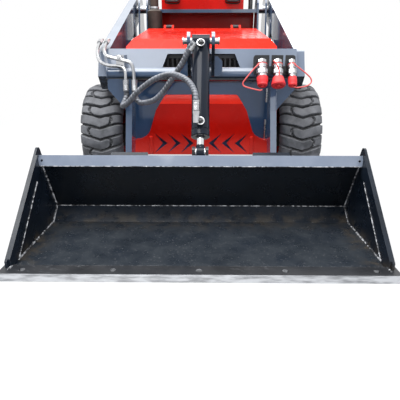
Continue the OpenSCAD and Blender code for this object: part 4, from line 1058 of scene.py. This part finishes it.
def bevel_bare_and_lit(tree, base):
    """Pales the bevel, whose face looks forward and up, in long patches: bare steel rubbed by use,
    and painted light of the sky on that face.
    """
    coords = add(tree, "ShaderNodeTexCoord")
    ahead = add(tree, "ShaderNodeSeparateXYZ", {0: coords.outputs["Normal"]}).outputs[1]
    face = between(tree, ahead, -0.35, -0.6)
    drawn = add(tree, "ShaderNodeVectorMath", {0: coords.outputs["Object"],
                                               1: (0.5, 3.0, 3.0)}, operation="MULTIPLY")
    patch = between(tree, grown(tree, drawn.outputs[0], 30.0, 6.0), 0.30, 0.62)
    bare_and_lit = times(tree, face, maths(tree, "MULTIPLY_ADD", patch, 0.6, 0.4))
    return tint(tree, bare_and_lit, base, rgb(0.40, 0.41, 0.43))


edge_steel = finish_coat("edge_steel", (0.012, 0.016, 0.023), (0.011, 0.012, 0.014),
                         (0.035, 0.036, 0.040), (0.42, 0.43, 0.45), gloss=0.3, evenness=0.4,
                         top_low=0.9, top_high=1.0, scuffs=0.5, wear=0.9, coat=0.0,
                         specular=0.35, reach=0.003, over=bevel_bare_and_lit)
dress(edge_steel, "cutting_edge")

# The beads are dark with pale patches: bare weld metal, and painted glints on their ripples
weld_bare_and_glints, tree, out = blank("weld_bare_and_glints")
place = object_place(tree)
bare_and_glint_spots = between(tree, grown(tree, place, 75.0, 5.0), 0.42, 0.60)
base = tint(tree, bare_and_glint_spots, rgb(0.035, 0.036, 0.04), rgb(0.66, 0.67, 0.70))
surface(tree, out, base, 0.42, grown(tree, place, 900.0, 3.0), 0.0004)

seams = [bead([(-585, -1053, 9.5), (585, -1053, 9.5)], 4.2, 5.0),
         bead([(-592, -619.8, 56.6), (592, -619.8, 56.6)], 1.9),
         bead([(-592, -753.6, 259.5), (592, -753.6, 259.5)], 1.6)]
for s in (-1, 1):
    x = s * 594.5
    seams += [bead([(x, -1040, 9), (x, -679, 9)], 3.0),
              bead([(x, -679, 9.5), (x, -620.5, 57.5)], 3.0),
              bead([(x, -620.5, 57.5), (x, -712, 245)], 3.0),
              bead([(s * 587.2, -1018, 14), (s * 587.2, -797, 212)], 1.8),
              bead([(s * 590, -1060, 16.8), (s * 590, -1090, 16.8)], 3.2)]
skin("bucket_seams", seams, weld_bare_and_glints, ride="tool")

# ---------------------------------------------------------------- tyres
# Bias-ply lug tyres, 20 inches high and 8 wide, moulded in one piece of black rubber. The lugs
# alternate from side to side and lean up to both shoulders. Their tops are worn grey and painted
# lighter as lit, and the casing between them is painted darker as shade.

# The axles' places in mm, and each wheel: name, side, axle
AXLE_X, FRONT_Y, REAR_Y, AXLE_Z = 471, -78, 642, 254
WHEELS = (("fl", 1, FRONT_Y), ("fr", -1, FRONT_Y), ("rl", 1, REAR_Y), ("rr", -1, REAR_Y))
LUGS = 15
LUG_H = 18.0
LUG_HALF = 21.0
LUG_PAST = 48.0
LUG_LEAN = math.radians(7)
# Half of the casing's section from the crown to the bead: distance from the middle, radius
SECTION = [(0, 236), (24, 236), (48, 235), (68, 232), (82, 226), (89, 215), (91, 198),
           (90, 178), (86, 158), (76, 142), (64, 135), (62, 128)]


def step(x):
    """0 below 0, 1 above 1, and a smooth step between."""
    x = np.clip(x, 0, 1)
    return x * x * (3 - 2 * x)


def tyre_grid(around=630, across=38):
    """The casing's section turned round the axle, and pushed out along its normal where a lug
    stands. A lug is a strap with a round inner end: its height falls from 1 to 0 over 5 mm at
    its edge, and fades down the side wall. A lower block goes on from its end to the far
    shoulder, past a narrow groove."""
    half = curve_through([(x, r) for x, r in SECTION], 8) / MM
    run = np.concatenate([[0], np.cumsum(np.linalg.norm(np.diff(half, axis=0), axis=1))])
    at = np.linspace(0, run[-1], across)
    x, r = (np.interp(at, run, half[:, k]) for k in (0, 1))
    x = np.concatenate([-x[:0:-1], x])[::-1]
    r = np.concatenate([r[:0:-1], r])[::-1]
    arc = np.concatenate([-at[:0:-1], at])[::-1]
    nx, nr = np.gradient(r), -np.gradient(x)
    size = np.hypot(nx, nr)
    turn = 2 * np.pi * np.arange(around) / around
    t, s = np.meshgrid(turn, arc, indexing="ij")
    raised = np.zeros_like(t)
    pitch = 2 * np.pi / LUGS
    for side, middle in ((-1, 0.19), (1, 0.69)):
        out = s * side
        lean = LUG_LEAN * (np.abs(s) - 46) / 100
        away = ((t + lean) / pitch - middle + 0.5) % 1.0 - 0.5
        sideways = away * pitch * 248.0
        inner = np.clip(LUG_HALF - LUG_PAST - out, 0, None)
        wide = LUG_HALF + 2.0 * step(out / 90.0)
        far = np.hypot(sideways, inner)
        lug = step((wide + 2 - far) / 5.0)
        block = 0.86 * step((wide + 2 - np.abs(sideways)) / 5.0) * step((far - wide - 3) / 5.0)
        raised = np.maximum(raised, np.maximum(lug, block) * step((132.0 - np.abs(s)) / 24.0))
    high = raised * LUG_H * (1 - 0.5 * step((np.abs(s) - 60) / 45))
    ribs = 1.2 * step(1 - np.abs(np.abs(s) - 146) / 3) + 1.8 * step(1 - np.abs(np.abs(s) - 160) / 4)
    ribs += 0.5 * step(1 - np.abs(np.abs(s) - 136) / 7) * (np.cos(t * 150) > 0)
    px = np.clip(x + (high + ribs) * nx / size, -99.6, 99.6)
    pr = np.minimum(r + high * nr / size, 254.0 - 0.4 * np.abs(np.sin(7.5 * t)))
    grid = np.stack([px, pr * np.sin(t), -pr * np.cos(t)], -1) * MM
    return grid, raised


rubber_black, tree, out = blank("tyre_rubber_dust_and_light")
place = object_place(tree)
lug_top = add(tree, "ShaderNodeAttribute", attribute_name="lug").outputs["Fac"]
cloud = between(tree, grown(tree, place, 26.0, 6.0), 0.35, 0.7)
# The casing between the lugs is darker and the lug tops lighter: grey wear on the tops, with
# painted shade in the grooves and painted light on the tops.
casing = tint(tree, cloud, rgb(0.018, 0.018, 0.019), rgb(0.045, 0.044, 0.043))
tread = tint(tree, cloud, rgb(0.055, 0.058, 0.066), rgb(0.13, 0.135, 0.15))
base = tint(tree, lug_top, casing, tread)
# Faces that look up turn paler: dust, and painted top light
dust_and_light = place_effect(tree, "Tone by facing", low=-0.1, high=0.9, evenness=0.35, scale=30.0)
base = tint(tree, dust_and_light, base, rgb(0.22, 0.225, 0.24))
# The lugs' edges turn pale grey: scuffs, and painted highlights
wear_and_highlight = place_effect(tree, "Edge wear and highlight", reach=0.004, amount=0.45, scale=90.0)
base = tint(tree, wear_and_highlight, base, rgb(0.36, 0.37, 0.39))
marks = grown(tree, place, 240.0, 5.0)
rough = maths(tree, "MULTIPLY_ADD", cloud, 0.2, 0.62)
surface(tree, out, base, rough, marks, 0.0008, 0.8, specular=0.35)

shape, raised = tyre_grid()
for name, side, y in WHEELS:
    hub = np.array([side * AXLE_X, y, AXLE_Z]) * MM
    tyre = skin("tyre_" + name + "_lugged", shape + hub, rubber_black, wrap_u=True,
                ride="wheel_" + name)
    lugs = tyre.data.attributes.new("lug", "FLOAT", "POINT")
    lugs.data.foreach_set("value", raised.ravel().astype(np.float32))
    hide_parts("tyre_" + name)

# ---------------------------------------------------------------- wheels
# Pressed steel discs welded into rolled rims and sprayed red. Five nuts on studs hold each to
# its hub, round a pressed dust cap, and a rubber valve stands in the rim.

dress(red_paint, "rim_fl", "rim_fr", "rim_rl", "rim_rr")
for name, s, y in WHEELS:
    out = (s, 0, 0)
    metal = [lathed((s * 446.8, y, AXLE_Z), out, [(0, 30), (2, 30), (3, 28.5), (16, 27.5), (20, 24),
                                               (22, 16), (22.4, 2)], 48)]
    for k in range(5):
        a = math.radians(72 * k + 36)
        at = (s * 447, y + 55 * math.cos(a), AXLE_Z + 55 * math.sin(a))
        metal += bolt(at, out, 19)
        metal.append(lathed(at, out, [(10, 6), (18, 6), (19, 5)], 16))
    skin("wheel_nuts_" + name, metal, zinc, ride="wheel_" + name)
    valve = lathed((s * 470, y + 112, AXLE_Z), (s, -0.25, 0), [(0, 6), (6, 5), (8, 4), (24, 4),
                                                           (25, 5), (34, 5), (35, 3.5)], 16)
    skin("wheel_valve_" + name, valve, black_plastic,
         ride="wheel_" + name)
